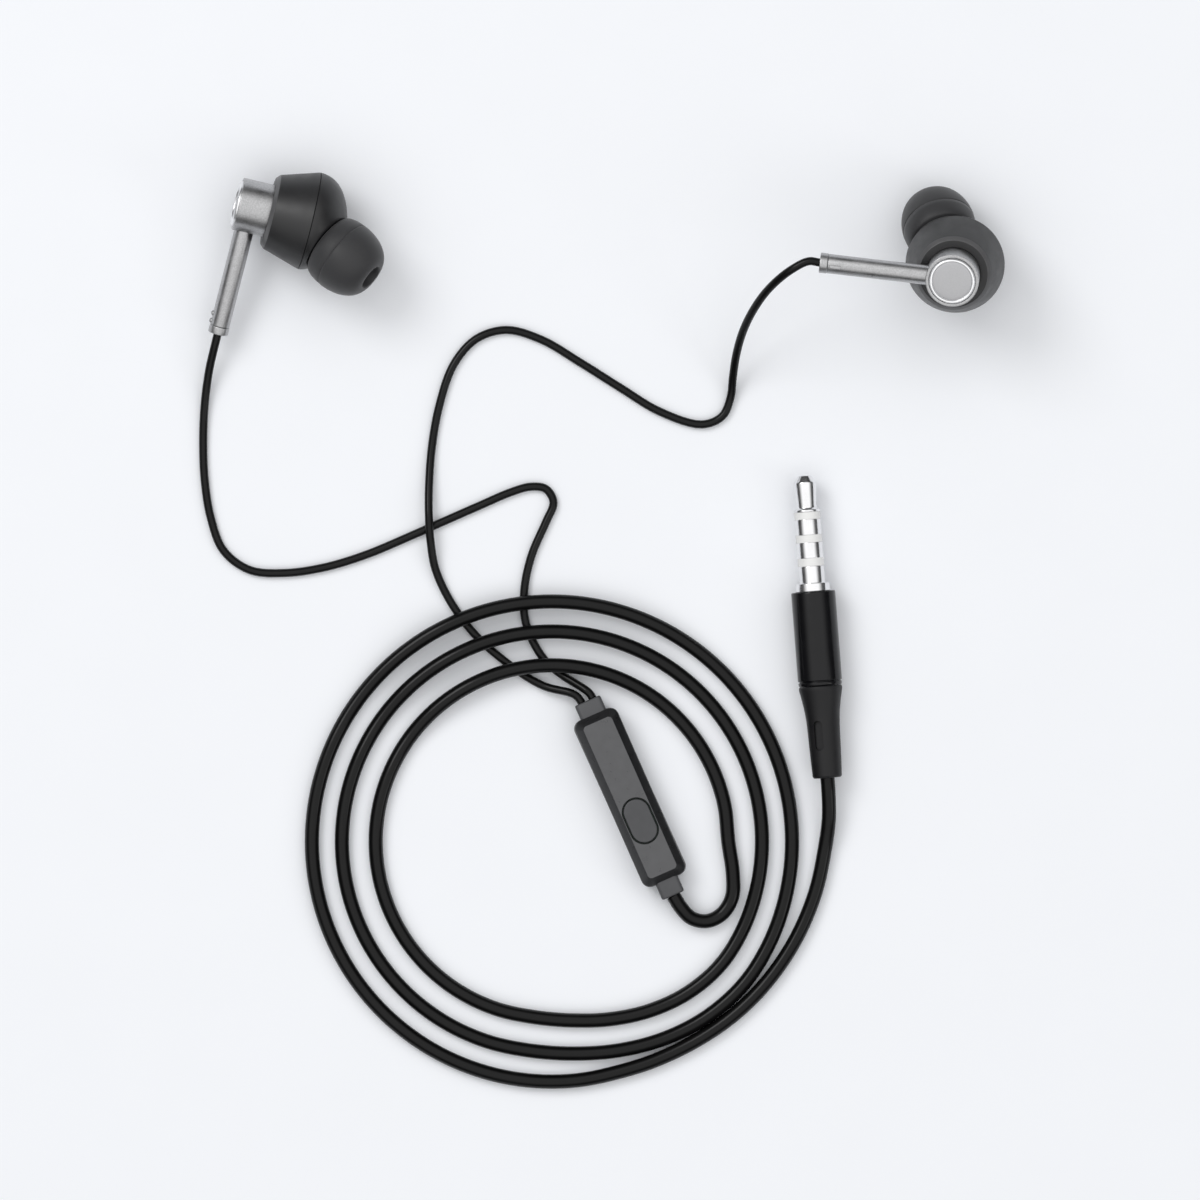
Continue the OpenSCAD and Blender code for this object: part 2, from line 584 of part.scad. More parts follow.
// the coil keeps one radius round each turn, moves out to the next in one place, and passes over the branches
coil_at = [-7.2, -78.2];
turn_step = [4.5, 4.0];
coil_start = 0;
coil_end = 1008;
coil_side = 24;
step_from = 262;
step_sweep = 70;
lift = 1.25;
function ease(u) = u <= 0 ? 0 : u >= 1 ? 1 : u * u * (3 - 2 * u);
function turn_radius(a) = coil_r + turn_step[0] * ease((a - step_from) / step_sweep)
                        + turn_step[1] * ease((a - step_from - 360) / step_sweep);
function over_branches(a) = ease((a % 360 - 48) / 24) - ease((a % 360 - 120) / 24);
function coil_point(a) = [coil_at.x + turn_radius(a) * cos(a), coil_at.y + turn_radius(a) * sin(a),
                          cord_r + lift * over_branches(a)];
plug_back = [cos(plug_yaw), sin(plug_yaw), 0];
main_path = concat(
    [remote_point([remote_len / 2 + bottom_collar[0], 0, split_z])],
    [[10.0, -87.0, 2.2], [11.4, -88.4, 1.7], [13.5, -88.8, 1.2], [15.5, -87.8, cord_r], [16.8, -85.6, cord_r],
     [16.9, -82.4, cord_r]],
    [for (a = [coil_start:coil_side:coil_end]) coil_point(a)],
    [[7.2, -107.1, cord_r], [12.6, -104.4, cord_r], [17.4, -101.0, cord_r], [21.7, -96.6, cord_r],
     [25.4, -91.0, cord_r], [27.9, -85.0, cord_r], [29.2, -79.0, 1.2], [29.7, -75.0, 2.2]],
    [for (x = [lead_in, 0]) plug_at - x * plug_back]);

module left_branch_cord() color("#1a1a1a") cord_tube(left_path, branch_r);
module right_branch_cord() color("#1a1a1a") cord_tube(right_path, branch_r);
module main_cord() color("#1a1a1a") cord_tube(main_path, cord_r);

left_badge();
left_rear_barrel();
left_stem_tube();
left_stem_ferrule();
left_rear_housing();
left_front_cap();
left_nozzle_mesh();
left_damper();
left_ear_tip();
left_driver_frame();
left_driver_yoke();
left_driver_magnet();
left_driver_top_plate();
left_diaphragm();
left_voice_coil();
left_driver_board();
left_vent_filter();
left_cord_knot();
right_badge();
right_rear_barrel();
right_stem_tube();
right_stem_ferrule();
right_rear_housing();
right_front_cap();
right_nozzle_mesh();
right_damper();
right_ear_tip();
right_driver_frame();
right_driver_yoke();
right_driver_magnet();
right_driver_top_plate();
right_diaphragm();
right_voice_coil();
right_driver_board();
right_vent_filter();
right_cord_knot();
remote_top_shell();
remote_bottom_shell();
remote_button();
remote_circuit_board();
remote_switch_body();
remote_switch_plunger();
remote_microphone();
remote_top_grommet();
remote_bottom_grommet();
plug_tip();
plug_front_ring();
plug_rear_ring();
plug_sleeve();
plug_insulators();
plug_core();
plug_barrel();
plug_boot();
left_branch_cord();
right_branch_cord();
main_cord();
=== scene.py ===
import json
import math

import bmesh
import bpy
from bpy.props import FloatProperty, FloatVectorProperty, PointerProperty
from mathutils import Matrix, Vector


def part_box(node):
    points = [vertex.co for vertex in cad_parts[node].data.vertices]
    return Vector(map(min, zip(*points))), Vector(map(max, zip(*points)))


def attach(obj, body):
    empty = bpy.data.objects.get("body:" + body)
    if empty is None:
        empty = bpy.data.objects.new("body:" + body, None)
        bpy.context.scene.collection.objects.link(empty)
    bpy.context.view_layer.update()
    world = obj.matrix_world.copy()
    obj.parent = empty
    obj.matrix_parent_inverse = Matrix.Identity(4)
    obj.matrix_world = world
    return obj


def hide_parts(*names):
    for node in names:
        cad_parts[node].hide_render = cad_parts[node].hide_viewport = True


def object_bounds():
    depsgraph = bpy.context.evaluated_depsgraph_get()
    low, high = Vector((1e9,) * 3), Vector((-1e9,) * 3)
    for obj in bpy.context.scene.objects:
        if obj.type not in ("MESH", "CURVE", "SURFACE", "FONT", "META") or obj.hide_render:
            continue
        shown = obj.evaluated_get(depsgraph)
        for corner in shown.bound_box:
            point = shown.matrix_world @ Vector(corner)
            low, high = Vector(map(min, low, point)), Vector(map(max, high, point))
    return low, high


bl_info = {
    "name": "Wired Earphones",
    "version": (1, 0, 0),
    "blender": (4, 5, 0),
    "location": "View3D > Sidebar > Earphones",
    "description": "Angled in-ear earphones with an in-line remote, a coiled cord and a straight plug",
    "category": "Add Mesh",
}

# Lengths in this file are millimetres, and MM turns them into Blender's metres.
MM = 0.001
ROOT = "earphones"

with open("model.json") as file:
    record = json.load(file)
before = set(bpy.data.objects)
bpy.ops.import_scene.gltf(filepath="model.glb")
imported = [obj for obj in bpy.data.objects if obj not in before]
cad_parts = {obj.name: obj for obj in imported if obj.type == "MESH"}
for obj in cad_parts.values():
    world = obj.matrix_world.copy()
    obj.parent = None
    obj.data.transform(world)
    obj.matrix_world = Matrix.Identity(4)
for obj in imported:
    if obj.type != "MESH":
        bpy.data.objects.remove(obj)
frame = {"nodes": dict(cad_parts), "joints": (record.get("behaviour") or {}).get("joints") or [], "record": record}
CAD_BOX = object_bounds()
JOINTS = {joint["name"]: joint for joint in frame["joints"]}
SIDES = {"left": -1, "right": 1}


# --- settings ----------------------------------------------------------------
def length(name, default, description):
    return FloatProperty(name=name, default=default, min=0.01, description=description + ", in millimetres")


def colour(name, default, description):
    return FloatVectorProperty(name=name, default=default, subtype="COLOR", size=3, min=0, max=1,
                               description=description)


class EARPHONES_PG_earbud(bpy.types.PropertyGroup):
    barrel_d: length("Barrel", 7.1, "Diameter of the metal barrel")
    barrel_len: length("Barrel length", 4.2, "Length of the barrel behind the housing")
    stem_d: length("Stem", 2.6, "Diameter of the stem")
    stem_len: length("Stem length", 14.2, "Length of the stem outside the barrel")
    stem_z: length("Stem setback", 1.7, "Distance of the stem's axis in front of the barrel's rim")
    ferrule_len: length("Ferrule", 1.1, "Length of the ferrule on the stem's end")
    rear_d: length("Housing rear", 10.1, "Diameter of the housing's rear rim")
    front_d: length("Housing seam", 13.2, "Diameter of the housing at its seam")
    housing_len: length("Housing length", 5.6, "Length from the rear rim to the seam")
    nozzle_root: length("Nozzle root", 2.85, "Distance of the nozzle's root in front of the seam")
    nozzle_offset: length("Nozzle offset", 3.08, "Offset of the nozzle's root from the housing's axis")
    collar_r: length("Collar", 4.15, "Radius of the front cap where the ear tip seats")
    nozzle_d: length("Nozzle", 4.6, "Diameter of the nozzle at its barb")
    nozzle_bore: length("Nozzle bore", 3.0, "Bore of the nozzle")
    nozzle_len: length("Nozzle length", 5.2, "Length of the nozzle")
    tip_d: length("Ear tip", 9.8, "Largest diameter of the ear tip")
    tip_len: length("Ear tip length", 7.8, "Length of the ear tip")
    tip_hole: length("Ear tip hole", 3.3, "Hole in the ear tip's end")
    tip_wall: length("Ear tip wall", 0.5, "Wall of the ear tip's dome and core")
    metal: colour("Metal", (0.43, 0.43, 0.435), "Blasted aluminium of the barrel and the stem")
    badge: colour("Badge", (0.44, 0.44, 0.45), "Satin face of the badge")
    rim: colour("Badge rim", (0.86, 0.86, 0.87), "Polished rim of the badge")
    # painted highlight: the housing's bevel colour is the shell's black plastic made lighter, standing in for the light
    # caught on that edge
    bevel: colour("Housing bevel", (0.085, 0.085, 0.088), "Lighter bevel on the housing's rear edge")
    shell: colour("Shell", (0.014, 0.014, 0.015), "Black plastic of the housing")
    silicone: colour("Silicone", (0.030, 0.030, 0.032), "Dark silicone of the ear tips")


class EARPHONES_PG_remote(bpy.types.PropertyGroup):
    body_len: length("Length", 24.2, "Length of the remote's body")
    body_w: length("Width", 6.25, "Width of the remote's body")
    body_h: length("Height", 5.0, "Height of the remote's body")
    split_z: length("Split", 2.4, "Height of the joint between the shells")
    bevel: length("Bevel", 1.07, "Width of the bevel round the top face")
    corner: length("Corner", 1.2, "Radius of the body's corners seen from above")
    button_len: length("Button length", 6.0, "Length of the button")
    button_w: length("Button width", 3.47, "Width of the button")
    button_x: length("Button place", 3.4, "Distance of the button from the body's middle")
    button_gap: length("Button gap", 0.2, "Gap all round the button")
    body: colour("Body", (0.062, 0.063, 0.067), "Dark grey plastic of the shells")
    button: colour("Button", (0.055, 0.056, 0.060), "Dark grey plastic of the button")


class EARPHONES_PG_plug(bpy.types.PropertyGroup):
    jack_d: length("Contacts", 3.5, "Diameter of the contacts")
    barrel_d: length("Barrel", 5.9, "Diameter of the plug's barrel")
    barrel_len: length("Barrel length", 12.6, "Length of the plug's barrel")
    boot_len: length("Boot", 12.3, "Length of the strain relief boot")
    boot_r: length("Boot end", 1.95, "Radius of the boot's end")
    contact: colour("Contacts", (0.80, 0.80, 0.81), "Nickel plate of the contacts")
    insulator: colour("Insulators", (0.86, 0.86, 0.85), "White plastic between the contacts")
    barrel: colour("Barrel", (0.004, 0.004, 0.005), "Gloss black plastic of the barrel")
    boot: colour("Boot", (0.009, 0.009, 0.010), "Matte black rubber of the boot")


class EARPHONES_PG_cords(bpy.types.PropertyGroup):
    main_d: length("Main cord", 1.93, "Diameter of the main cord")
    branch_d: length("Branch cords", 1.1, "Diameter of each branch cord")
    coil_r: length("Coil", 23.5, "Radius of the coil's inner turn")
    jacket: colour("Jacket", (0.0025, 0.0025, 0.0026), "Black jacket of the cords")


class EARPHONES_PG_stage(bpy.types.PropertyGroup):
    view_w: length("View", 160.0, "Width of floor that the camera sees")
    lens: length("Lens", 800.0, "Focal length of the camera")
    floor: colour("Floor", (0.915, 0.932, 0.965), "Pale floor")


GROUPS = {
    "earbud_settings": EARPHONES_PG_earbud,
    "remote_settings": EARPHONES_PG_remote,
    "plug_settings": EARPHONES_PG_plug,
    "cord_settings": EARPHONES_PG_cords,
    "stage_settings": EARPHONES_PG_stage,
}


# The plug's flange stands between its barrel and its sleeve contact.
FLANGE_LEN = 1.1


# --- placing and finishing ---------------------------------------------------
def basis(x, y, z, origin):
    """The matrix that takes a piece's own millimetres to the row frame, from its three axes and its origin."""
    matrix = Matrix((x, y, z)).transposed().to_4x4()
    matrix.translation = Vector(origin)
    return matrix @ Matrix.Scale(MM, 4)


def joint_axis(name):
    return Vector(JOINTS[name]["axis"]).normalized()


NOZZLE_LEAN = math.radians(32)
LEAN_HEADING = math.radians(52.65)


def earbud_axes(side, s):
    """The earbud's stem direction, its sideways direction, its forward direction and the middle of its rear rim."""
    forward = joint_axis(f"{side}_cone_stroke")
    nozzle = joint_axis(f"{side}_tip_swivel")
    foot = Vector(JOINTS[f"{side}_tip_swivel"]["pos_m"])
    lean = ((nozzle - forward * math.cos(NOZZLE_LEAN)) / math.sin(NOZZLE_LEAN)).normalized()
    stem = Matrix.Rotation(-SIDES[side] * LEAN_HEADING, 3, forward) @ lean
    root = s.barrel_len + s.housing_len + s.nozzle_root
    origin = foot - lean * s.nozzle_offset * MM - forward * root * MM
    return stem, forward.cross(stem), forward, origin


def earbud_matrix(side, s):
    return basis(*earbud_axes(side, s))


def nozzle_matrix(side):
    nozzle = joint_axis(f"{side}_tip_swivel")
    forward = joint_axis(f"{side}_cone_stroke")
    across = forward.cross(nozzle).normalized()
    return basis(across, nozzle.cross(across), nozzle, JOINTS[f"{side}_tip_swivel"]["pos_m"])


def mount(name):
    return next(m for m in frame["record"]["mounts"] if m["name"] == name)


def remote_matrix():
    low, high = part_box("remote_bottom_grommet")
    middle = Vector(mount("remote_underside")["pos_m"])
    along = Vector(((low[0] + high[0]) / 2, (low[1] + high[1]) / 2, 0)) - middle
    along.normalize()
    up = Vector((0, 0, 1))
    return basis(along, up.cross(along), up, middle)


def plug_matrix(s):
    """The plug's own z runs from the boot's end to the tip."""
    jack = mount("jack_plug")
    along = Vector(jack["axis"]).normalized()
    to_sleeve = s.boot_len + s.barrel_len + FLANGE_LEN
    up = Vector((0, 0, 1))
    return basis(-up, up.cross(along), along, Vector(jack["pos_m"]) - along * to_sleeve * MM)


def finished(name, bm, matrix, material, body=ROOT, replaces=(), sharp=38, second=None, inside=None):
    """Makes a piece from a bmesh in millimetres, puts it in place, and gives it its body and material.

    The faces whose middles pass the test inside, before they are put in place, get the second material."""
    bmesh.ops.recalc_face_normals(bm, faces=bm.faces)
    if second:
        for face in bm.faces:
            face.material_index = int(inside(face.calc_center_median()))
    bmesh.ops.transform(bm, matrix=matrix, verts=bm.verts)
    mesh = bpy.data.meshes.new(name)
    bm.to_mesh(mesh)
    bm.free()
    mesh.shade_smooth()
    mesh.set_sharp_from_angle(angle=math.radians(sharp))
    piece = bpy.data.objects.new(name, mesh)
    bpy.context.scene.collection.objects.link(piece)
    mesh.materials.append(material)
    if second:
        mesh.materials.append(second)
    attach(piece, body)
    if replaces:
        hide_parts(*replaces)
    return piece


def repaint(material, *nodes):
    for name in nodes:
        node = frame["nodes"][name]
        node.data.materials.clear()
        node.data.materials.append(material)
        node.data.shade_smooth()
        node.data.set_sharp_from_angle(angle=math.radians(30))


# --- shaping -----------------------------------------------------------------
def arc(centre, radius, start, stop, steps=6):
    """Points of an arc in an outline, from one angle in degrees to another."""
    angles = [math.radians(start + (stop - start) * i / steps) for i in range(steps + 1)]
    return [(centre[0] + radius * math.cos(a), centre[1] + radius * math.sin(a)) for a in angles]


def filleted(points, radius, steps=4):
    """An outline with each corner between its ends rounded off to the given radius, or less on a short side."""
    out = [points[0]]
    for before, corner, after in zip(points, points[1:], points[2:]):
        a, b, c = Vector(before), Vector(corner), Vector(after)
        reach = min(radius, (a - b).length / 2, (c - b).length / 2)
        start = b + (a - b).normalized() * reach
        stop = b + (c - b).normalized() * reach
        for i in range(steps + 1):
            t = i / steps
            out.append(tuple(start * (1 - t) ** 2 + b * 2 * t * (1 - t) + stop * t * t))
    return out + [points[-1]]


def spun(bm, outline, steps=96, closed=False):
    """Adds a turned shape to bm from an outline of (radius, z) points."""
    verts = [bm.verts.new((r, 0, z)) for r, z in outline]
    pairs = list(zip(verts, verts[1:]))
    if closed:
        pairs.append((verts[-1], verts[0]))
    edges = [bm.edges.new(pair) for pair in pairs]
    bmesh.ops.spin(bm, geom=verts + edges, cent=(0, 0, 0), axis=(0, 0, 1), dvec=(0, 0, 0),
                   angle=math.tau, steps=steps, use_merge=True, use_duplicate=False)
    bmesh.ops.remove_doubles(bm, verts=bm.verts, dist=0.002)
    return bm


def turned(outline, steps=96, closed=False):
    return spun(bmesh.new(), outline, steps, closed)


def plate_ring(bm, l, w, r, z, x=0.0, steps=8):
    """A closed ring of edges round a plate with round corners, centred on x."""
    verts = []
    for cx, cy, start in ((1, 1, 0), (-1, 1, 90), (-1, -1, 180), (1, -1, 270)):
        centre = (x + cx * (l / 2 - r), cy * (w / 2 - r))
        verts += [bm.verts.new((px, py, z)) for px, py in arc(centre, r, start, start + 90, steps)]
    return [bm.edges.new((a, b)) for a, b in zip(verts, verts[1:] + verts[:1])]


def bridged(bm, rings):
    for near, far in zip(rings, rings[1:]):
        bmesh.ops.bridge_loops(bm, edges=near + far)


def closed_over(bm, ring):
    bmesh.ops.edgeloop_fill(bm, edges=ring)


def carved(bm, tool):
    """The shape in bm with the shape in tool cut out of it."""
    pair = []
    for shape in (bm, tool):
        bmesh.ops.recalc_face_normals(shape, faces=shape.faces)
        mesh = bpy.data.meshes.new("carving")
        shape.to_mesh(mesh)
        shape.free()
        pair.append(bpy.data.objects.new("carving", mesh))
        bpy.context.scene.collection.objects.link(pair[-1])
    cut = pair[0].modifiers.new("cut", "BOOLEAN")
    cut.operation = "DIFFERENCE"
    cut.solver = "EXACT"
    cut.object = pair[1]
    result = bmesh.new()
    result.from_object(pair[0], bpy.context.evaluated_depsgraph_get())
    for part in pair:
        bpy.data.meshes.remove(part.data)
    return result


# --- materials ---------------------------------------------------------------
def surface(name, base, roughness, metallic=0.0, grain=6000, grain_depth=0.02, mottle=0.12, rough_mottle=0.1,
            coat=0.0, specular=0.5, sheen=0.0, streak=0.0):
    """A procedural finish: fine grain in the relief, slow changes of colour, and changes of roughness.

    grain is how many grains lie along a metre, grain_depth their depth in millimetres, and streak how much of the
    colour change follows the grain's own pattern."""
    material = bpy.data.materials.new(name)
    material.use_nodes = True
    nodes, links = material.node_tree.nodes, material.node_tree.links
    shader = nodes["Principled BSDF"]
    shader.inputs["Metallic"].default_value = metallic
    shader.inputs["Specular IOR Level"].default_value = specular
    shader.inputs["Coat Weight"].default_value = coat
    shader.inputs["Coat Roughness"].default_value = 0.15
    shader.inputs["Sheen Weight"].default_value = sheen
    place = nodes.new("ShaderNodeTexCoord")

    fine = nodes.new("ShaderNodeTexNoise")
    fine.inputs["Scale"].default_value = grain
    fine.inputs["Detail"].default_value = 3
    fine.inputs["Roughness"].default_value = 0.6
    slow = nodes.new("ShaderNodeTexNoise")
    slow.inputs["Scale"].default_value = grain / 12
    slow.inputs["Detail"].default_value = 4
    for noise in (fine, slow):
        links.new(place.outputs["Object"], noise.inputs["Vector"])

    mix = nodes.new("ShaderNodeMix")
    mix.data_type = "FLOAT"
    mix.inputs["Factor"].default_value = streak
    links.new(slow.outputs["Fac"], mix.inputs["A"])
    links.new(fine.outputs["Fac"], mix.inputs["B"])
    ramp = nodes.new("ShaderNodeValToRGB")
    ramp.color_ramp.elements[0].position = 0.3
    ramp.color_ramp.elements[1].position = 0.7
    ramp.color_ramp.elements[0].color = [c * (1 - mottle) for c in base] + [1]
    ramp.color_ramp.elements[1].color = [min(1, c * (1 + mottle)) for c in base] + [1]
    links.new(mix.outputs["Result"], ramp.inputs["Fac"])
    links.new(ramp.outputs["Color"], shader.inputs["Base Color"])

    gloss = nodes.new("ShaderNodeMapRange")
    gloss.inputs["From Min"].default_value = 0.3
    gloss.inputs["From Max"].default_value = 0.7
    gloss.inputs["To Min"].default_value = max(0.02, roughness * (1 - rough_mottle))
    gloss.inputs["To Max"].default_value = min(1, roughness * (1 + rough_mottle))
    links.new(slow.outputs["Fac"], gloss.inputs["Value"])
    links.new(gloss.outputs["Result"], shader.inputs["Roughness"])

    relief = nodes.new("ShaderNodeBump")
    relief.inputs["Strength"].default_value = 0.5
    relief.inputs["Distance"].default_value = grain_depth * MM
    links.new(fine.outputs["Fac"], relief.inputs["Height"])
    links.new(relief.outputs["Normal"], shader.inputs["Normal"])
    return material


def woven(name, base, pitch, depth):
    """Fine wire mesh: two crossed sets of waves, with the holes painted near black as painted shade from the hollow
    behind them.
    """
    material = surface(name, base, 0.4, metallic=0.9)
    nodes, links = material.node_tree.nodes, material.node_tree.links
    shader = nodes["Principled BSDF"]
    place = nodes.new("ShaderNodeTexCoord")
    waves = []
    for direction in ("X", "Y"):
        wave = nodes.new("ShaderNodeTexWave")
        wave.bands_direction = direction
        wave.inputs["Scale"].default_value = 0.5 / (pitch * MM)
        links.new(place.outputs["Object"], wave.inputs["Vector"])
        waves.append(wave)
    cross = nodes.new("ShaderNodeMath")
    cross.operation = "MAXIMUM"
    links.new(waves[0].outputs["Fac"], cross.inputs[0])
    links.new(waves[1].outputs["Fac"], cross.inputs[1])
    ramp = nodes.new("ShaderNodeValToRGB")
    # painted shade: below 0.45 of the crossed waves, the holes are near black
    ramp.color_ramp.elements[0].position = 0.45
    ramp.color_ramp.elements[0].color = (0.01, 0.01, 0.01, 1)
    ramp.color_ramp.elements[1].position = 0.75
    ramp.color_ramp.elements[1].color = (*base, 1)
    links.new(cross.outputs["Value"], ramp.inputs["Fac"])
    links.new(ramp.outputs["Color"], shader.inputs["Base Color"])
    relief = nodes["Bump"]
    relief.inputs["Distance"].default_value = depth * MM
    links.new(cross.outputs["Value"], relief.inputs["Height"])
    return material


# --- stage -------------------------------------------------------------------
class EARPHONES_OT_stage(bpy.types.Operator):
    """Make the camera, the pale floor and the soft light"""

    bl_idname = "earphones.stage"
    bl_label = "Stage"

    def execute(self, context):
        s = context.scene.stage_settings
        low, high = CAD_BOX
        centre = Vector(((low[0] + high[0]) / 2, (low[1] + high[1]) / 2, 0)) + Vector(VIEW_SHIFT) * MM
        camera_data = bpy.data.cameras.new("camera")
        camera_data.lens = s.lens
        camera_data.clip_start = 0.05
        camera_data.clip_end = 20
        camera = bpy.data.objects.new("camera", camera_data)
        camera.location = centre + Vector((0, 0, s.view_w * MM * s.lens / camera_data.sensor_width))
        context.scene.collection.objects.link(camera)
        context.scene.camera = camera
        self.floor(context, s, centre)
        self.light(context, centre)
        context.scene.view_settings.view_transform = "Standard"
        context.scene.view_settings.look = "None"
        return {"FINISHED"}

    def floor(self, context, s, centre):
        bm = bmesh.new()
        bmesh.ops.create_grid(bm, x_segments=1, y_segments=1, size=3)
        bmesh.ops.translate(bm, verts=bm.verts, vec=centre)
        mesh = bpy.data.meshes.new("floor")
        bm.to_mesh(mesh)
        bm.free()
        mesh.materials.append(surface("floor_paper", s.floor, 0.85, grain=900, grain_depth=0.01, mottle=0.004,
                                      specular=0.1))
        floor = bpy.data.objects.new("floor", mesh)
        context.scene.collection.objects.link(floor)

    def light(self, context, centre):
        """A sky that is brightest overhead, and one wide soft light from the upper left."""
        world = bpy.data.worlds.new("sky")
        world.use_nodes = True
        context.scene.world = world
        nodes, links = world.node_tree.nodes, world.node_tree.links
        place = nodes.new("ShaderNodeTexCoord")
        split = nodes.new("ShaderNodeSeparateXYZ")
        ramp = nodes.new("ShaderNodeValToRGB")
        for (position, value), stop in zip(SKY, (*ramp.color_ramp.elements, None)):
            stop = stop or ramp.color_ramp.elements.new(position)
            stop.position = position
            stop.color = (value, value, value, 1)
        links.new(place.outputs["Generated"], split.inputs["Vector"])
        links.new(split.outputs["Z"], ramp.inputs["Fac"])
        links.new(ramp.outputs["Color"], nodes["Background"].inputs["Color"])
        nodes["Background"].inputs["Strength"].default_value = SKY_STRENGTH
        for name, place, power, size in LIGHTS:
            light_data = bpy.data.lights.new(name, "AREA")
            light_data.energy = power
            light_data.shape = "DISK"
            light_data.size = size
            light = bpy.data.objects.new(name, light_data)
            light.location = centre + Vector(place)
            light.rotation_euler = (-Vector(place)).to_track_quat("-Z", "Y").to_euler()
            light.visible_camera = False
            context.scene.collection.objects.link(light)


VIEW_SHIFT = (-0.2, 4.01, 0)
# height above the horizon and brightness: dark sides keep contrast in the metal, and the top lights the floor
SKY = ((0.0, 0.02), (0.8, 1.0), (0.45, 0.12))
SKY_STRENGTH = 1.22
# name, place in metres from the middle of the view, watts, diameter in metres
LIGHTS = (
    ("key", (-0.5, 0.45, 0.8), 2.6, 0.5),
    ("rim", (0.55, -0.2, 0.35), 0.3, 0.25),
)


# --- cords -------------------------------------------------------------------
LOW = 0.55
LEFT_WAY = [
    (-52.9, -15.5, 2.0), (-53.5, -20.0, 0.9), (-53.7, -25.0, LOW), (-53.5, -30.0, LOW), (-52.7, -35.0, LOW),
    (-51.0, -39.4, LOW), (-47.5, -42.0, LOW), (-42.8, -42.4, LOW), (-37.3, -41.6, LOW), (-31.8, -39.9, LOW),
    (-26.8, -37.8, LOW), (-21.8, -35.6, LOW), (-16.8, -33.4, LOW), (-12.6, -31.6, LOW), (-10.0, -30.9, LOW),
    (-8.0, -31.2, LOW), (-7.0, -33.0, LOW), (-8.0, -35.6, LOW), (-9.9, -40.0, LOW), (-10.9, -44.7, LOW),
    (-10.7, -49.0, LOW), (-9.1, -52.7, LOW), (-7.6, -54.6, 0.6), (-5.7, -56.1, 0.85),
]
RIGHT_WAY = [
    (24.4, -2.3, 16.6), (21.6, -4.7, 13.8), (19.5, -7.6, 10.4), (18.1, -10.6, 7.0), (17.3, -13.6, 4.1),
    (16.9, -16.4, 2.0), (16.6, -19.0, 0.8), (15.5, -21.5, LOW), (12.8, -22.6, LOW), (7.2, -20.9, LOW),
    (1.9, -17.7, LOW), (-3.5, -14.3, LOW), (-8.6, -11.3, LOW), (-13.3, -10.0, LOW), (-17.3, -11.2, LOW),
    (-20.3, -14.6, LOW), (-22.2, -20.0, LOW), (-23.2, -25.5, LOW), (-23.6, -31.0, 1.1), (-23.6, -35.0, 1.75),
    (-23.4, -38.0, 1.75), (-22.7, -42.0, 0.9), (-20.5, -46.6, LOW), (-17.2, -50.9, LOW), (-12.1, -55.2, LOW),
    (-8.2, -57.5, 1.1),
]
# how each branch turns into the collar: distance before it, and distance to the side in half pitches
LEFT_IN = ((1.35, 0.5), (0.7, 0.87), (0, 1))
RIGHT_IN = ((1.78, -2), (0.96, -1.26), (0, -1))
IN_DIP = 0.2
HOOK = [(10.0, -87.0, 2.2), (11.4, -88.4, 1.7), (13.5, -88.8, 1.2), (15.5, -87.8, 0.965), (16.8, -85.6, 0.965),
        (16.9, -82.4, 0.965)]
PLUG_LEAD = [(7.2, -107.1, 0.965), (12.6, -104.4, 0.965), (17.4, -101.0, 0.965), (21.7, -96.6, 0.965),
             (25.4, -91.0, 0.965), (27.9, -85.0, 0.965), (29.2, -79.0, 1.2), (29.7, -75.0, 2.2)]
COIL_AT = (-7.2, -78.2)
COIL_END = 1008
COIL_STEP = 12
TURN_STEP = (4.5, 4.0)
STEP_FROM = 262
STEP_SWEEP = 70
LIFT = 1.25
LEAD_IN = 1.5
TOP_COLLAR = (2.0, 3.7, 2.4)
BOTTOM_COLLAR = (2.2, 3.2, 2.8)
BRANCH_PITCH = 1.56


def ease(u):
    u = min(1.0, max(0.0, u))
    return u * u * (3 - 2 * u)


def coil_point(s, degrees):
    """The coil keeps one radius round each turn, moves out in one place, and passes over the branches."""
    radius = s.coil_r + sum(step * ease((degrees - STEP_FROM - 360 * turn) / STEP_SWEEP)
                            for turn, step in enumerate(TURN_STEP))
    round_turn = degrees % 360
    over = ease((round_turn - 48) / 24) - ease((round_turn - 120) / 24)
    a = math.radians(degrees)
    return (COIL_AT[0] + radius * math.cos(a), COIL_AT[1] + radius * math.sin(a), s.main_d / 2 + LIFT * over)


def smooth_line(points, steps=6):
    """A smooth line through the points, in millimetres."""
    points = [Vector(p) for p in points]
    padded = [points[0] * 2 - points[1]] + points + [points[-1] * 2 - points[-2]]
    line = []
    for a, b, c, d in zip(padded, padded[1:], padded[2:], padded[3:]):
        near = (b - a).length ** 0.5
        mid = (c - b).length ** 0.5
        far = (d - c).length ** 0.5
        leave = ((b - a) / near - (c - a) / (near + mid) + (c - b) / mid) * mid
        arrive = ((c - b) / mid - (d - b) / (mid + far) + (d - c) / far) * mid
        for i in range(steps):
            t = i / steps
            line.append(b * (2 * t ** 3 - 3 * t ** 2 + 1) + leave * (t ** 3 - 2 * t ** 2 + t)
                        + c * (3 * t ** 2 - 2 * t ** 3) + arrive * (t ** 3 - t ** 2))
    return line + [points[-1]]


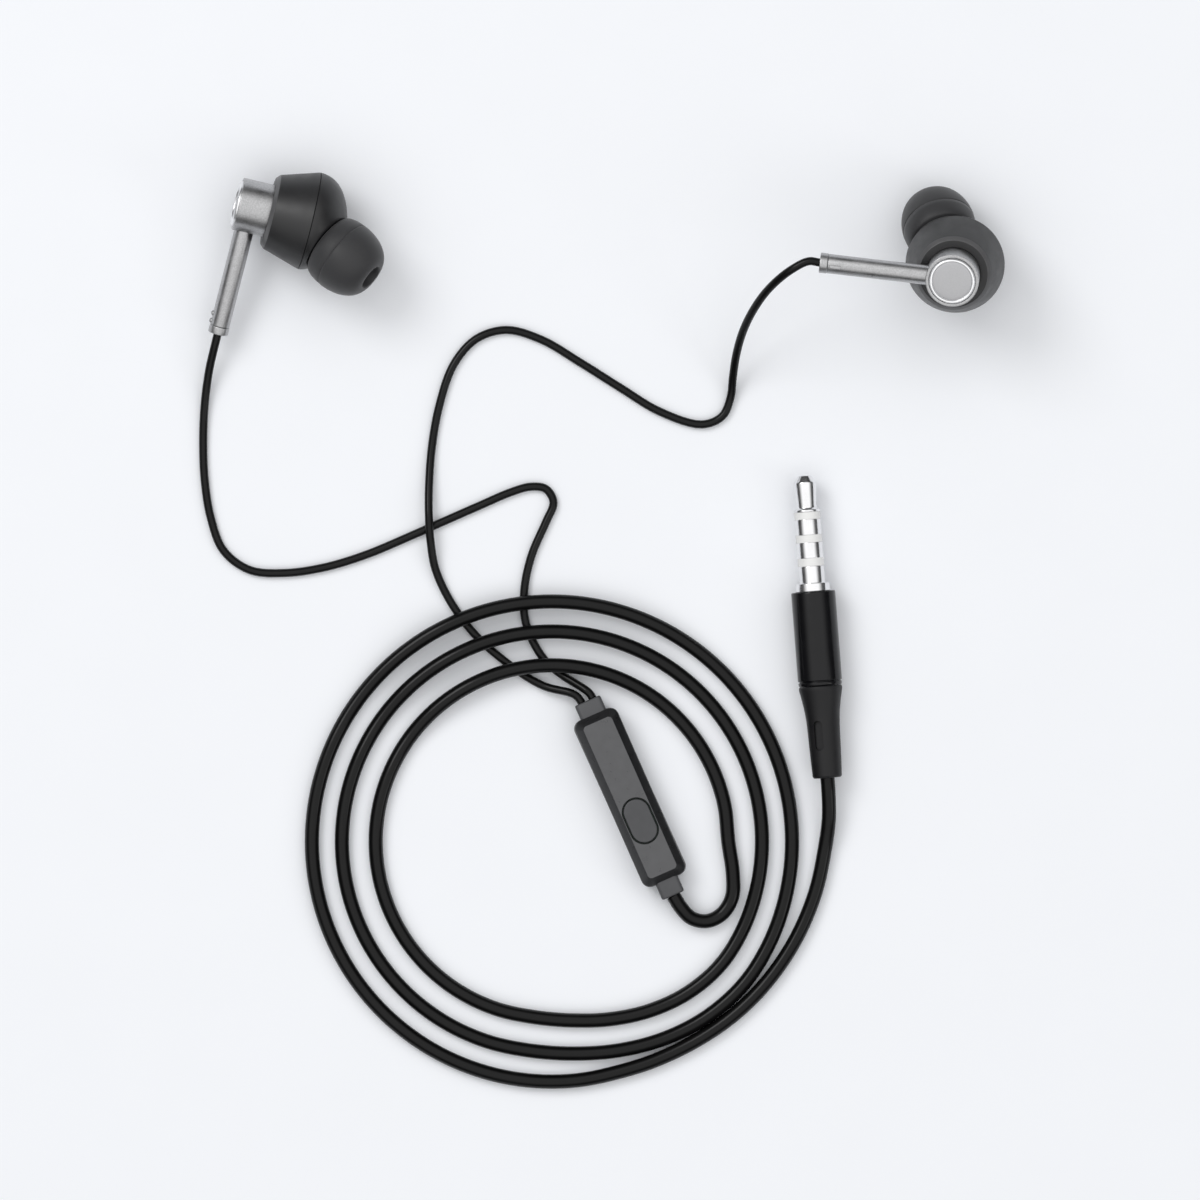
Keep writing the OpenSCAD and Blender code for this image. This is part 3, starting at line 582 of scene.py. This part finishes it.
class EARPHONES_OT_cords(bpy.types.Operator):
    """Lay the two branch cords and the coiled main cord"""

    bl_idname = "earphones.cords"
    bl_label = "Cords"

    def execute(self, context):
        s = context.scene.cord_settings
        jacket = surface("cord_jacket", s.jacket, 0.36, grain=5000, grain_depth=0.004, mottle=0.25,
                         rough_mottle=0.15, specular=0.08, coat=0.28)
        for side, way, turn_in in (("left", LEFT_WAY, LEFT_IN), ("right", RIGHT_WAY, RIGHT_IN)):
            bud = context.scene.earbud_settings
            matrix = earbud_matrix(side, bud)
            end_x = bud.barrel_d / 2 + bud.stem_len
            leaves = [matrix @ Vector((end_x + x, 0, bud.stem_z)) / MM for x in (0, LEAD_IN)]
            self.lay(f"{side}_branch_cord", leaves + way + self.into_remote(context, turn_in), s.branch_d, jacket,
                     [f"{side}_branch_cord"], "fitting")
        plug = plug_matrix(context.scene.plug_settings)
        remote = context.scene.remote_settings
        start = remote_matrix() @ Vector((remote.body_len / 2 + BOTTOM_COLLAR[0], 0, remote.split_z)) / MM
        coil = [coil_point(s, a) for a in range(0, COIL_END + 1, COIL_STEP)]
        ends = [plug @ Vector((0, 0, z)) / MM for z in (-LEAD_IN, 0)]
        self.lay("main_cord", [start] + HOOK + coil + PLUG_LEAD + ends, s.main_d, jacket, ["main_cord"], "plug")
        return {"FINISHED"}

    def into_remote(self, context, turn_in):
        remote = context.scene.remote_settings
        end = -remote.body_len / 2 - TOP_COLLAR[0]
        return [remote_matrix() @ Vector((end - x, y * BRANCH_PITCH / 2, remote.split_z - IN_DIP * x)) / MM
                for x, y in turn_in]

    def lay(self, node, points, diameter, jacket, nodes, far_end):
        line = smooth_line(points)
        curve = bpy.data.curves.new(node + "_jacket", "CURVE")
        curve.dimensions = "3D"
        curve.bevel_depth = diameter / 2 * MM
        curve.bevel_resolution = 5
        curve.use_fill_caps = True
        spline = curve.splines.new("POLY")
        spline.points.add(len(line) - 1)
        for point, place in zip(spline.points, line):
            point.co = (*(place * MM), 1)
        spline.use_smooth = True
        cord = bpy.data.objects.new(node + "_jacket", curve)
        bpy.context.scene.collection.objects.link(cord)
        curve.materials.append(jacket)
        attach(cord, ROOT)
        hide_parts(*nodes)


# --- earbuds -----------------------------------------------------------------
BEZEL_BEVEL = 0.5
RING_STEP = 0.02
BADGE_SEAT = 0.3
BADGE_RISE = 0.35
TIP_LIFT = 0.3
TIP_WAIST = 3.0


def housing_outline(s):
    """The rear housing, turned: its flat rim round the barrel, its bevelled edge, its flared side and its wall."""
    z, rear, front = s.barrel_len, s.rear_d / 2, s.front_d / 2
    seam = z + s.housing_len
    inner = s.barrel_d / 2 + 0.02
    outside = filleted([(inner, z + 0.25), (inner, z + 0.02), (s.barrel_d / 2 + 0.22, z),
                        (rear - BEZEL_BEVEL, z), (rear, z + BEZEL_BEVEL),
                        (front, seam - 0.05), (front - 0.07, seam - 0.01)], 0.08)
    return outside + [(front - 0.8, seam - 0.01), (front - 0.8, seam - 1.6), (rear - 0.9, z + 0.9),
                      (s.barrel_d / 2 + 0.02, z + 0.9)]


def cap_rings(side, s, steps=96, levels=22):
    """The front cap's skin: for each heading, a curve from the seam up over the shoulder to the nozzle's collar."""
    seam, root = s.barrel_len + s.housing_len, s.barrel_len + s.housing_len + s.nozzle_root
    heading = SIDES[side] * LEAN_HEADING
    lean = Matrix.Rotation(heading, 3, "Z") @ Matrix.Rotation(NOZZLE_LEAN, 3, "Y")
    foot = Vector((s.nozzle_offset * math.cos(heading), s.nozzle_offset * math.sin(heading), root))
    rings = [[] for _ in range(levels + 1)]
    for i in range(steps):
        a = math.tau * i / steps
        low = Vector((s.front_d / 2 * math.cos(a), s.front_d / 2 * math.sin(a), seam + 0.06))
        high = foot + lean @ Vector((s.collar_r * math.cos(a - heading), s.collar_r * math.sin(a - heading), 0))
        corner = Vector((low.x * 0.985, low.y * 0.985, low.z + 0.82 * (high.z - low.z)))
        for k in range(levels + 1):
            t = k / levels
            rings[k].append(low * (1 - t) ** 2 + corner * 2 * t * (1 - t) + high * t * t)
    return rings


def lofted(bm, rings):
    """Joins rings of points that have the same count, each closed on itself.

    Rings on one centre need some distance along their axis, RING_STEP where the shape has none: a bridge takes its
    direction from the line between the two centres, and can turn inside out where that line has no length."""
    loops = []
    for ring in rings:
        verts = [bm.verts.new(p) for p in ring]
        loops.append([bm.edges.new((a, b)) for a, b in zip(verts, verts[1:] + verts[:1])])
    bridged(bm, loops)
    return loops


class EARPHONES_OT_earbuds(bpy.types.Operator):
    """Build the metal barrel, badge and stem, the black housing, the nozzle and the ear tip of each earbud"""

    bl_idname = "earphones.earbuds"
    bl_label = "Earbuds"

    def execute(self, context):
        s = context.scene.earbud_settings
        metal = surface("blasted_metal", s.metal, 0.34, metallic=1.0, grain=5200, grain_depth=0.020, mottle=0.20,
                        rough_mottle=0.2, streak=0.85)
        badge = surface("badge_face", s.badge, 0.36, metallic=1.0, grain=6000, grain_depth=0.006, mottle=0.06,
                        streak=0.6)
        rim = surface("badge_rim", s.rim, 0.30, metallic=1.0, grain=6000, grain_depth=0.003, mottle=0.03)
        # painted highlight: a lighter copy of the shell's plastic for the rear bevel, standing in for the light that
        # edge catches
        painted_highlight_bevel = surface("housing_bevel_painted_highlight", s.bevel, 0.38, grain=8000, grain_depth=0.004, mottle=0.08, specular=0.6)
        shell = surface("housing_plastic", s.shell, 0.42, grain=8000, grain_depth=0.006, mottle=0.10,
                        rough_mottle=0.12, specular=0.5)
        silicone = surface("ear_tip_silicone", s.silicone, 0.55, grain=3500, grain_depth=0.006, mottle=0.08,
                           specular=0.4, sheen=0.12)
        for side in SIDES:
            matrix = earbud_matrix(side, s)
            self.barrel(side, s, matrix, metal)
            self.badge(side, s, matrix, badge, rim)
            self.stem(side, s, matrix, metal)
            self.housing(side, s, matrix, shell, painted_highlight_bevel)
            self.cap(side, s, matrix, shell)
            self.ear_tip(side, s, silicone)
        return {"FINISHED"}

    def barrel(self, side, s, matrix, metal):
        r, wall = s.barrel_d / 2, 0.45
        outline = filleted([(r - wall, BADGE_SEAT), (r - wall, 0), (r, 0), (r, s.barrel_len + 0.9)], 0.12)
        outline += [(r - wall, s.barrel_len + 0.9), (r - wall, BADGE_SEAT + 0.4), (0, BADGE_SEAT + 0.4)]
        outline = [(0, BADGE_SEAT)] + outline
        finished(f"{side}_barrel_shell", turned(outline), matrix, metal,
                 replaces=[f"{side}_rear_barrel"])

    def badge(self, side, s, matrix, face, rim):
        """A plain disc: a polished raised rim round a satin face that rises a little to its middle."""
        r = s.barrel_d / 2 - 0.5
        flat = r - 0.45
        crown = [(flat * math.cos(a), -0.12 - 0.10 * math.sin(a)) for a in (math.pi / 2 * k / 10 for k in range(1, 11))]
        edge = filleted([(r, BADGE_SEAT), (r, -0.16), (r - 0.12, -BADGE_RISE + 0.03), (r - 0.36, -BADGE_RISE + 0.03),
                         (flat, -0.12)], 0.07)
        crown[-1] = (0, crown[-1][1])
        finished(f"{side}_badge_disc", turned([(0, BADGE_SEAT)] + edge + crown), matrix, face,
                 replaces=[f"{side}_badge"], second=rim,
                 inside=lambda at: at.z < BADGE_SEAT - 0.05 and at.xy.length > flat - 0.01)

    def stem(self, side, s, matrix, metal):
        """The stem turned about its own axis, with the ferrule after a fine groove, and the side's raised mark."""
        r, start, end = s.stem_d / 2, s.barrel_d / 2 - 0.85, s.barrel_d / 2 + s.stem_len
        seam = end - s.ferrule_len
        along = Matrix.Translation((0, 0, s.stem_z)) @ Matrix.Rotation(math.pi / 2, 4, "Y")
        bm = turned(filleted([(0.95, start), (r, start), (r, seam - 0.03), (r - 0.08, seam)], 0.03)
                    + [(0.95, seam)], 64, closed=True)
        self.mark(bm, side, r, end)
        finished(f"{side}_stem_body", bm, matrix @ along, metal, replaces=[f"{side}_stem_tube"])
        lip = r + 0.05
        outline = filleted([(0.42, seam), (r - 0.08, seam), (lip, seam + 0.10), (lip, end), (0.62, end),
                            (0.50, end - 0.3),
                            (0.42, end - 0.3)], 0.12)
        finished(f"{side}_stem_collar", turned(outline, 64, closed=True), matrix @ along, metal,
                 replaces=[f"{side}_stem_ferrule"])

    def mark(self, bm, side, r, end):
        """Two raised pips on the left stem, one raised bar on the right, to tell them apart by touch."""
        # the side that faces backwards is +x once the stem is turned
        if side == "left":
            for z in (1.5, 2.55):
                place = Matrix.Translation((r - 0.02, 0, end - z)) @ Matrix.Diagonal((0.8, 1, 1, 1))
                bmesh.ops.create_icosphere(bm, subdivisions=3, radius=0.36, matrix=place)
            return
        place = Matrix.Translation((r - 0.02, -0.1, end - 2.1)) @ Matrix.Diagonal((0.3, 0.5, 1.6, 1))
        made = bmesh.ops.create_cube(bm, size=1, matrix=place)
        edges = {e for v in made["verts"] for e in v.link_edges}
        bmesh.ops.bevel(bm, geom=list(edges), offset=0.09, segments=3, profile=0.5, affect="EDGES", material=-1)

    def housing(self, side, s, matrix, shell, painted_highlight_bevel):
        bm = turned(housing_outline(s), closed=True)
        z, rear = s.barrel_len, s.rear_d / 2
        # the faces on the rear bevel get the lighter plastic: a painted highlight along the housing's rear edge
        finished(f"{side}_housing_shell", bm, matrix, shell, replaces=[f"{side}_rear_housing"],
                 sharp=30, second=painted_highlight_bevel, inside=lambda at: z + 0.02 < at.z < z + BEZEL_BEVEL
                 and at.xy.length > rear - BEZEL_BEVEL)

    def cap(self, side, s, matrix, shell):
        """The cap's skin and its inner wall, and the nozzle with its barb, turned about the leaning axis."""
        rings = cap_rings(side, s)
        seam = s.barrel_len + s.housing_len
        steps = len(rings[0])
        inner_r = s.front_d / 2 - 0.8
        angles = [math.tau * i / steps for i in range(steps)]

        def circle(r, z):
            return [Vector((r * math.cos(a), r * math.sin(a), z)) for a in angles]

        heading = SIDES[side] * LEAN_HEADING
        lean = Matrix.Rotation(heading, 4, "Z") @ Matrix.Rotation(NOZZLE_LEAN, 4, "Y")
        foot = Matrix.Translation((s.nozzle_offset * math.cos(heading), s.nozzle_offset * math.sin(heading),
                                   seam + s.nozzle_root))
        nozzle = foot @ lean

        def about_nozzle(r, z):
            return [nozzle @ Vector((r * math.cos(a - heading), r * math.sin(a - heading), z)) for a in angles]

        inside = [about_nozzle(s.nozzle_bore / 2, -0.8), circle(inner_r, seam + 1.2), circle(inner_r, seam + 0.1)]
        edge = [circle(s.front_d / 2 - 0.10, seam + 0.02)]
        bead = [about_nozzle(s.collar_r - 0.10, 0.05), about_nozzle(s.collar_r - 0.25, 0.06)]
        barb, bore, length_ = s.nozzle_d / 2, s.nozzle_bore / 2, s.nozzle_len
        throat = 1.9
        neck = filleted([(barb - 0.12, 0.06 + RING_STEP), (barb - 0.12, length_ - 1.6), (barb, length_ - 1.45),
                         (barb, length_ - 0.8), (barb - 0.12, length_ - 0.65), (barb - 0.12, length_),
                         (throat, length_ - RING_STEP)], 0.08)
        neck += [(throat, length_ - 0.15), (bore, length_ - 0.15 - RING_STEP)]
        bm = bmesh.new()
        loops = lofted(bm, edge + rings + bead + [about_nozzle(r, z) for r, z in neck] + inside)
        bmesh.ops.bridge_loops(bm, edges=loops[0] + loops[-1])
        bmesh.ops.remove_doubles(bm, verts=bm.verts, dist=0.002)
        finished(f"{side}_cap_shell", bm, matrix, shell, replaces=[f"{side}_front_cap"], sharp=35)

    def ear_tip(self, side, s, silicone):
        """The ear tip turned: the dome, the skirt, the wall inside them and the core that grips the nozzle."""
        radius, wall = s.tip_d / 2, s.tip_wall
        lip = 1.9 / 3.3 * s.tip_hole
        skirt_in = radius - s.collar_r

        def dome(inset, a):
            return (lip + (radius - inset - lip) * math.cos(a),
                    TIP_WAIST + (s.tip_len - inset - TIP_WAIST) * math.sin(a))

        def skirt(inset, a):
            return (radius - inset - skirt_in * (1 - math.cos(a)), TIP_WAIST - (TIP_WAIST - TIP_LIFT) * math.sin(a))

        quarter = [math.pi / 2 * k / 14 for k in range(15)]
        hole, core = s.tip_hole / 2, s.nozzle_d / 2 + 0.05
        outside = [skirt(0, a) for a in reversed(quarter)][:-3] + [
            (radius - 0.02, TIP_WAIST - 0.30), (radius - 0.07, TIP_WAIST - 0.24), (radius - 0.01, TIP_WAIST - 0.18)]
        outside += [dome(0, a) for a in quarter]
        mouth = [(lip - 0.10, s.tip_len + 0.0), (hole + 0.08, s.tip_len - 0.06), (hole, s.tip_len - 0.2)]
        bore = [(hole, s.nozzle_len + 0.4), (core, s.nozzle_len + 0.4), (core, TIP_LIFT + 0.05),
                (core + 0.05, TIP_LIFT)]
        back = [(core + wall, TIP_LIFT), (core + wall, s.tip_len - wall - 1.1)]
        under = [dome(wall, a) for a in reversed(quarter)][4:] + [skirt(wall, a) for a in quarter][1:]
        edge = [(s.collar_r - wall / 2, TIP_LIFT - 0.12)]
        finished(f"{side}_ear_tip_skin", turned(outside + mouth + bore + back + under + edge, closed=True),
                 nozzle_matrix(side), silicone, body=f"{side}_tip", replaces=[f"{side}_ear_tip"],
                 sharp=45)


# --- remote ------------------------------------------------------------------
class EARPHONES_OT_remote(bpy.types.Operator):
    """Build the remote's upper shell with its button, and the collars where the cords enter"""

    bl_idname = "earphones.remote"
    bl_label = "Remote"

    def execute(self, context):
        s = context.scene.remote_settings
        body = surface("remote_plastic", s.body, 0.30, grain=9000, grain_depth=0.008, mottle=0.10,
                       rough_mottle=0.12, specular=0.7)
        # painted shade: the bevel round the top face is the body's plastic at 0.3 of its colour, standing in for the
        # shade on that sloping band
        bevel = surface("remote_bevel", [c * 0.3 for c in s.body], 0.30, grain=9000, grain_depth=0.006, mottle=0.12,
                        specular=0.35)
        rubber = surface("collar_rubber", [c * 1.1 for c in s.body], 0.50, grain=6000, grain_depth=0.008,
                         mottle=0.10)
        key = surface("button_plastic", s.button, 0.32, grain=9000, grain_depth=0.006, mottle=0.08)
        self.top_shell(s, body, bevel)
        self.button(s, key)
        for name, size, end in (("top", TOP_COLLAR, -1), ("bottom", BOTTOM_COLLAR, 1)):
            self.collar(s, name, size, end, rubber)
        repaint(body, "remote_bottom_shell")
        return {"FINISHED"}

    def top_shell(self, s, material, bevel):
        """Rings from the joint up the side, over the bevel, across the top face to the button's hole and inside."""
        bm = bmesh.new()
        half = 0.02
        steps = 10

        def outer(inset, z, r):
            return plate_ring(bm, s.body_len - 2 * inset, s.body_w - 2 * inset, r, z, steps=steps)

        rings = [outer(0.9, s.split_z + half, 0.5), outer(0.06, s.split_z + half, s.corner),
                 outer(0, s.split_z + 0.08, s.corner)]
        shoulder = s.split_z + 1.2
        rim = (s.body_w - s.button_w) / 2 - s.button_gap - 0.08
        for inset, z in filleted([(0, s.split_z + 0.08), (0, shoulder), (s.bevel, s.body_h),
                                  (max(rim, s.bevel + 0.02), s.body_h)], 0.25, 5)[1:]:
            rings.append(outer(inset, z, max(0.35, s.corner - 0.62 * inset)))
        gap_l, gap_w = s.button_len + 2 * s.button_gap, s.button_w + 2 * s.button_gap
        for grow, z in ((0.06, s.body_h), (0.02, s.body_h - 0.03), (0, s.body_h - 0.10), (0, s.body_h - 0.9)):
            rings.append(plate_ring(bm, gap_l + 2 * grow, gap_w + 2 * grow, gap_w / 2 + grow - 0.005, z,
                                    x=s.button_x, steps=steps))
        inner = [outer(1.1, s.body_h - 0.9, 0.4), rings[0]]
        bridged(bm, rings[:-4])
        bridged(bm, rings[-4:])
        bridged(bm, inner)
        for around, hole in ((rings[-5], rings[-4]), (inner[0], rings[-1])):
            bmesh.ops.triangle_fill(bm, edges=around + hole, use_beauty=True)
        # the faces on the bevel round the top face get the darker plastic: painted shade on that band
        finished("remote_upper_skin", bm, remote_matrix(), material, replaces=["remote_top_shell"],
                 sharp=32, second=bevel, inside=lambda at: shoulder - 0.05 < at.z < s.body_h - 0.02
                 and max(abs(at.x) - s.body_len / 2, abs(at.y) - s.body_w / 2) > -s.bevel)

    def button(self, s, material):
        bm = bmesh.new()
        top = s.body_h + 0.1
        rings = []
        for inset, z in filleted([(0, s.body_h - 1.3), (0, top), (0.5, top + 0.0)], 0.16, 5):
            rings.append(plate_ring(bm, s.button_len - 2 * inset, s.button_w - 2 * inset,
                                    s.button_w / 2 - inset - 0.005, z, x=s.button_x, steps=10))
        bridged(bm, rings)
        closed_over(bm, rings[0])
        closed_over(bm, rings[-1])
        finished("remote_button_cap", bm, remote_matrix(), material, body="button",
                 replaces=["remote_button"], sharp=30)

    def collar(self, s, name, size, end, material):
        """A rounded block outside the shell, where the cord goes in."""
        bm = bmesh.new()
        out, w, h = size
        rings = []
        face = s.body_len / 2
        for x, inset in ((-0.7, 0.0), (out - 0.28, 0.0), (out - 0.12, 0.05), (out - 0.03, 0.14), (out, 0.28)):
            ring = plate_ring(bm, h - 2 * inset, w - 2 * inset, 0.55 - inset * 0.6, 0, steps=6)
            verts = list({v for e in ring for v in e.verts})
            turn = Matrix.Translation((end * (face + x), 0, s.split_z)) @ Matrix.Rotation(math.pi / 2, 4, "Y")
            bmesh.ops.transform(bm, matrix=turn, verts=verts)
            rings.append(ring)
        bridged(bm, rings)
        closed_over(bm, rings[0])
        closed_over(bm, rings[-1])
        finished(f"remote_{name}_collar", bm, remote_matrix(), material,
                 replaces=[f"remote_{name}_grommet"], sharp=35)


# --- plug --------------------------------------------------------------------
FLANGE_R = 2.33
SLEEVE_LEN = 2.3
RING_LEN = 2.1
GAPS = (1.05, 1.0, 0.95)
GROOVE = 0.2
SLOT = (4.0, 1.2)
SLOT_AT = 159


class EARPHONES_OT_plug(bpy.types.Operator):
    """Build the plug: its nickel contacts, its gloss barrel and the rubber boot on the cord"""

    bl_idname = "earphones.plug"
    bl_label = "Plug"

    def execute(self, context):
        s = context.scene.plug_settings
        contact = surface("contact_nickel", s.contact, 0.16, metallic=1.0, grain=5000, grain_depth=0.003,
                          mottle=0.04, rough_mottle=0.25)
        white = surface("insulator_plastic", s.insulator, 0.45, grain=6000, grain_depth=0.003, mottle=0.03)
        barrel = surface("barrel_gloss", s.barrel, 0.20, grain=6000, grain_depth=0.004, mottle=0.12,
                         rough_mottle=0.2, specular=0.3)
        boot = surface("boot_rubber", s.boot, 0.48, grain=7000, grain_depth=0.010, mottle=0.12, specular=0.3)
        place = plug_matrix(s)
        jack = s.jack_d / 2
        flange = s.boot_len + s.barrel_len
        z = flange + FLANGE_LEN
        core = 0.8
        finished("plug_sleeve_contact", turned(filleted(
            [(core, flange), (FLANGE_R, flange), (FLANGE_R, z), (jack, z), (jack, z + SLEEVE_LEN),
             (core, z + SLEEVE_LEN)], 0.09), 64, closed=True), place, contact,
            replaces=["plug_sleeve"], sharp=28)
        z += SLEEVE_LEN + GAPS[0]
        for name, gap in (("rear", GAPS[1]), ("front", GAPS[2])):
            finished(f"plug_{name}_ring_contact", turned(filleted(
                [(core, z), (jack, z), (jack, z + RING_LEN), (core, z + RING_LEN)], 0.07), 64, closed=True),
                place, contact, replaces=[f"plug_{name}_ring"], sharp=28)
            z += RING_LEN + gap
        finished("plug_tip_contact", turned(filleted(
            [(0, z), (jack, z), (jack, z + 0.33), (1.40, z + 0.5), (1.36, z + 0.9), (1.53, z + 3.75),
             (1.53, z + 3.95), (0.85, z + 4.9), (0, z + 4.9)], 0.12), 64), place, contact,
            replaces=["plug_tip"], sharp=28)
        repaint(white, "plug_insulators")
        self.barrel(s, place, barrel)
        self.boot(s, place, boot)
        return {"FINISHED"}

    def barrel(self, s, place, material):
        r, start, end = s.barrel_d / 2, s.boot_len, s.boot_len + s.barrel_len
        groove = start + 0.5
        outline = filleted([(FLANGE_R - 0.4, start), (r - 0.08, start), (r - 0.04, groove), (r - GROOVE, groove + 0.04),
                            (r - GROOVE, groove + 0.16), (r, groove + 0.2), (r, end), (FLANGE_R, end)], 0.22)
        outline = [(0, start)] + outline + [(0, end)]
        finished("plug_barrel_shell", turned(outline), place, material, replaces=["plug_barrel"],
                 sharp=30)

    def boot(self, s, place, material):
        """The boot swells towards the barrel, and has one long slot in its side."""
        n, r = s.boot_len, s.boot_r
        top = s.barrel_d / 2 - 0.06
        profile = [(0, 0), (r - 0.2, 0), (r, 0.2), (r + 0.10, 0.20 * n), (r + 0.18, 0.40 * n), (r + 0.23, 0.56 * n),
                   (r + 0.32, 0.67 * n), (r + 0.48, 0.77 * n), (top - 0.24, 0.87 * n), (top, 0.96 * n),
                   (top, n - 0.02), (0, n - 0.02)]
        slot = bmesh.new()
        rings = [plate_ring(slot, SLOT[0], SLOT[1], SLOT[1] / 2 - 0.01, x) for x in (r - 0.3, r + 2)]
        bridged(slot, rings)
        for ring in rings:
            closed_over(slot, ring)
        # the plate's length is turned to lie along the boot, and the plate to face out at the slot's angle
        turn = (Matrix.Rotation(math.radians(SLOT_AT), 4, "Z") @ Matrix.Translation((0, 0, 0.3 * n + SLOT[0] / 2))
                @ Matrix.Rotation(math.pi / 2, 4, "Y"))
        bmesh.ops.transform(slot, matrix=turn, verts=slot.verts)
        bm = carved(turned(filleted(profile, 0.9, 6), 96), slot)
        finished("plug_boot_sleeve", bm, place, material, replaces=["plug_boot"], sharp=30)


# --- inside ------------------------------------------------------------------
class EARPHONES_OT_inner_parts(bpy.types.Operator):
    """Give the pieces inside the earbuds, the remote and the plug their finishes"""

    bl_idname = "earphones.inner_parts"
    bl_label = "Inner parts"

    def execute(self, context):
        mesh = woven("nozzle_screen", (0.42, 0.42, 0.43), 0.16, 0.03)
        foam = surface("damper_foam", (0.62, 0.60, 0.55), 0.95, grain=2500, grain_depth=0.08, mottle=0.25, sheen=0.1)
        plastic = surface("driver_plastic", (0.10, 0.10, 0.11), 0.5, grain=5000, grain_depth=0.01)
        steel = surface("driver_steel", (0.55, 0.55, 0.56), 0.35, metallic=1.0, grain=6000, grain_depth=0.006)
        nickel = surface("magnet_nickel", (0.62, 0.60, 0.57), 0.25, metallic=1.0, grain=6000, grain_depth=0.004)
        film = surface("cone_film", (0.55, 0.57, 0.58), 0.25, grain=2500, grain_depth=0.004, coat=0.4)
        copper = surface("coil_copper", (0.75, 0.32, 0.14), 0.32, metallic=1.0, grain=3500, grain_depth=0.01,
                         streak=0.5)
        board = surface("board_green", (0.02, 0.14, 0.06), 0.35, grain=2500, grain_depth=0.006, mottle=0.2, coat=0.3)
        jacket = surface("knot_jacket", context.scene.cord_settings.jacket, 0.4, grain=5000, grain_depth=0.006,
                         mottle=0.25)
        white = surface("plunger_plastic", (0.80, 0.79, 0.74), 0.4, grain=5000, grain_depth=0.006, mottle=0.04)
        black = surface("switch_plastic", (0.02, 0.02, 0.022), 0.4, grain=5000, grain_depth=0.006)
        gold = surface("gold_plate", (0.80, 0.58, 0.24), 0.22, metallic=1.0, grain=5000, grain_depth=0.004)
        for side in SIDES:
            repaint(mesh, f"{side}_nozzle_mesh")
            repaint(foam, f"{side}_damper", f"{side}_vent_filter")
            repaint(plastic, f"{side}_driver_frame")
            repaint(steel, f"{side}_driver_yoke", f"{side}_driver_top_plate")
            repaint(nickel, f"{side}_driver_magnet")
            repaint(film, f"{side}_diaphragm")
            repaint(copper, f"{side}_voice_coil")
            repaint(board, f"{side}_driver_board")
            repaint(jacket, f"{side}_cord_knot")
        repaint(board, "remote_circuit_board")
        repaint(black, "remote_switch_body")
        repaint(white, "remote_switch_plunger")
        repaint(gold, "remote_microphone", "plug_core")
        return {"FINISHED"}


# --- panel and running -------------------------------------------------------
STEPS = (EARPHONES_OT_stage, EARPHONES_OT_cords, EARPHONES_OT_earbuds, EARPHONES_OT_remote, EARPHONES_OT_plug,
         EARPHONES_OT_inner_parts)


class EARPHONES_PT_panel(bpy.types.Panel):
    bl_idname = "EARPHONES_PT_panel"
    bl_label = "Earphones"
    bl_space_type = "VIEW_3D"
    bl_region_type = "UI"
    bl_category = "Earphones"

    def draw(self, context):
        for step in STEPS:
            self.layout.operator(step.bl_idname)
        for name in GROUPS:
            settings = getattr(context.scene, name)
            box = self.layout.box()
            for field in settings.__annotations__:
                box.prop(settings, field)


CLASSES = (*GROUPS.values(), *STEPS, EARPHONES_PT_panel)


def register():
    for cls in CLASSES:
        bpy.utils.register_class(cls)
    for name, group in GROUPS.items():
        setattr(bpy.types.Scene, name, PointerProperty(type=group))


def unregister():
    for name in GROUPS:
        delattr(bpy.types.Scene, name)
    for cls in reversed(CLASSES):
        bpy.utils.unregister_class(cls)


def main():
    register()
    bpy.ops.earphones.stage()
    bpy.ops.earphones.cords()
    bpy.ops.earphones.earbuds()
    bpy.ops.earphones.remote()
    bpy.ops.earphones.plug()
    bpy.ops.earphones.inner_parts()


if __name__ == "__main__":
    main()
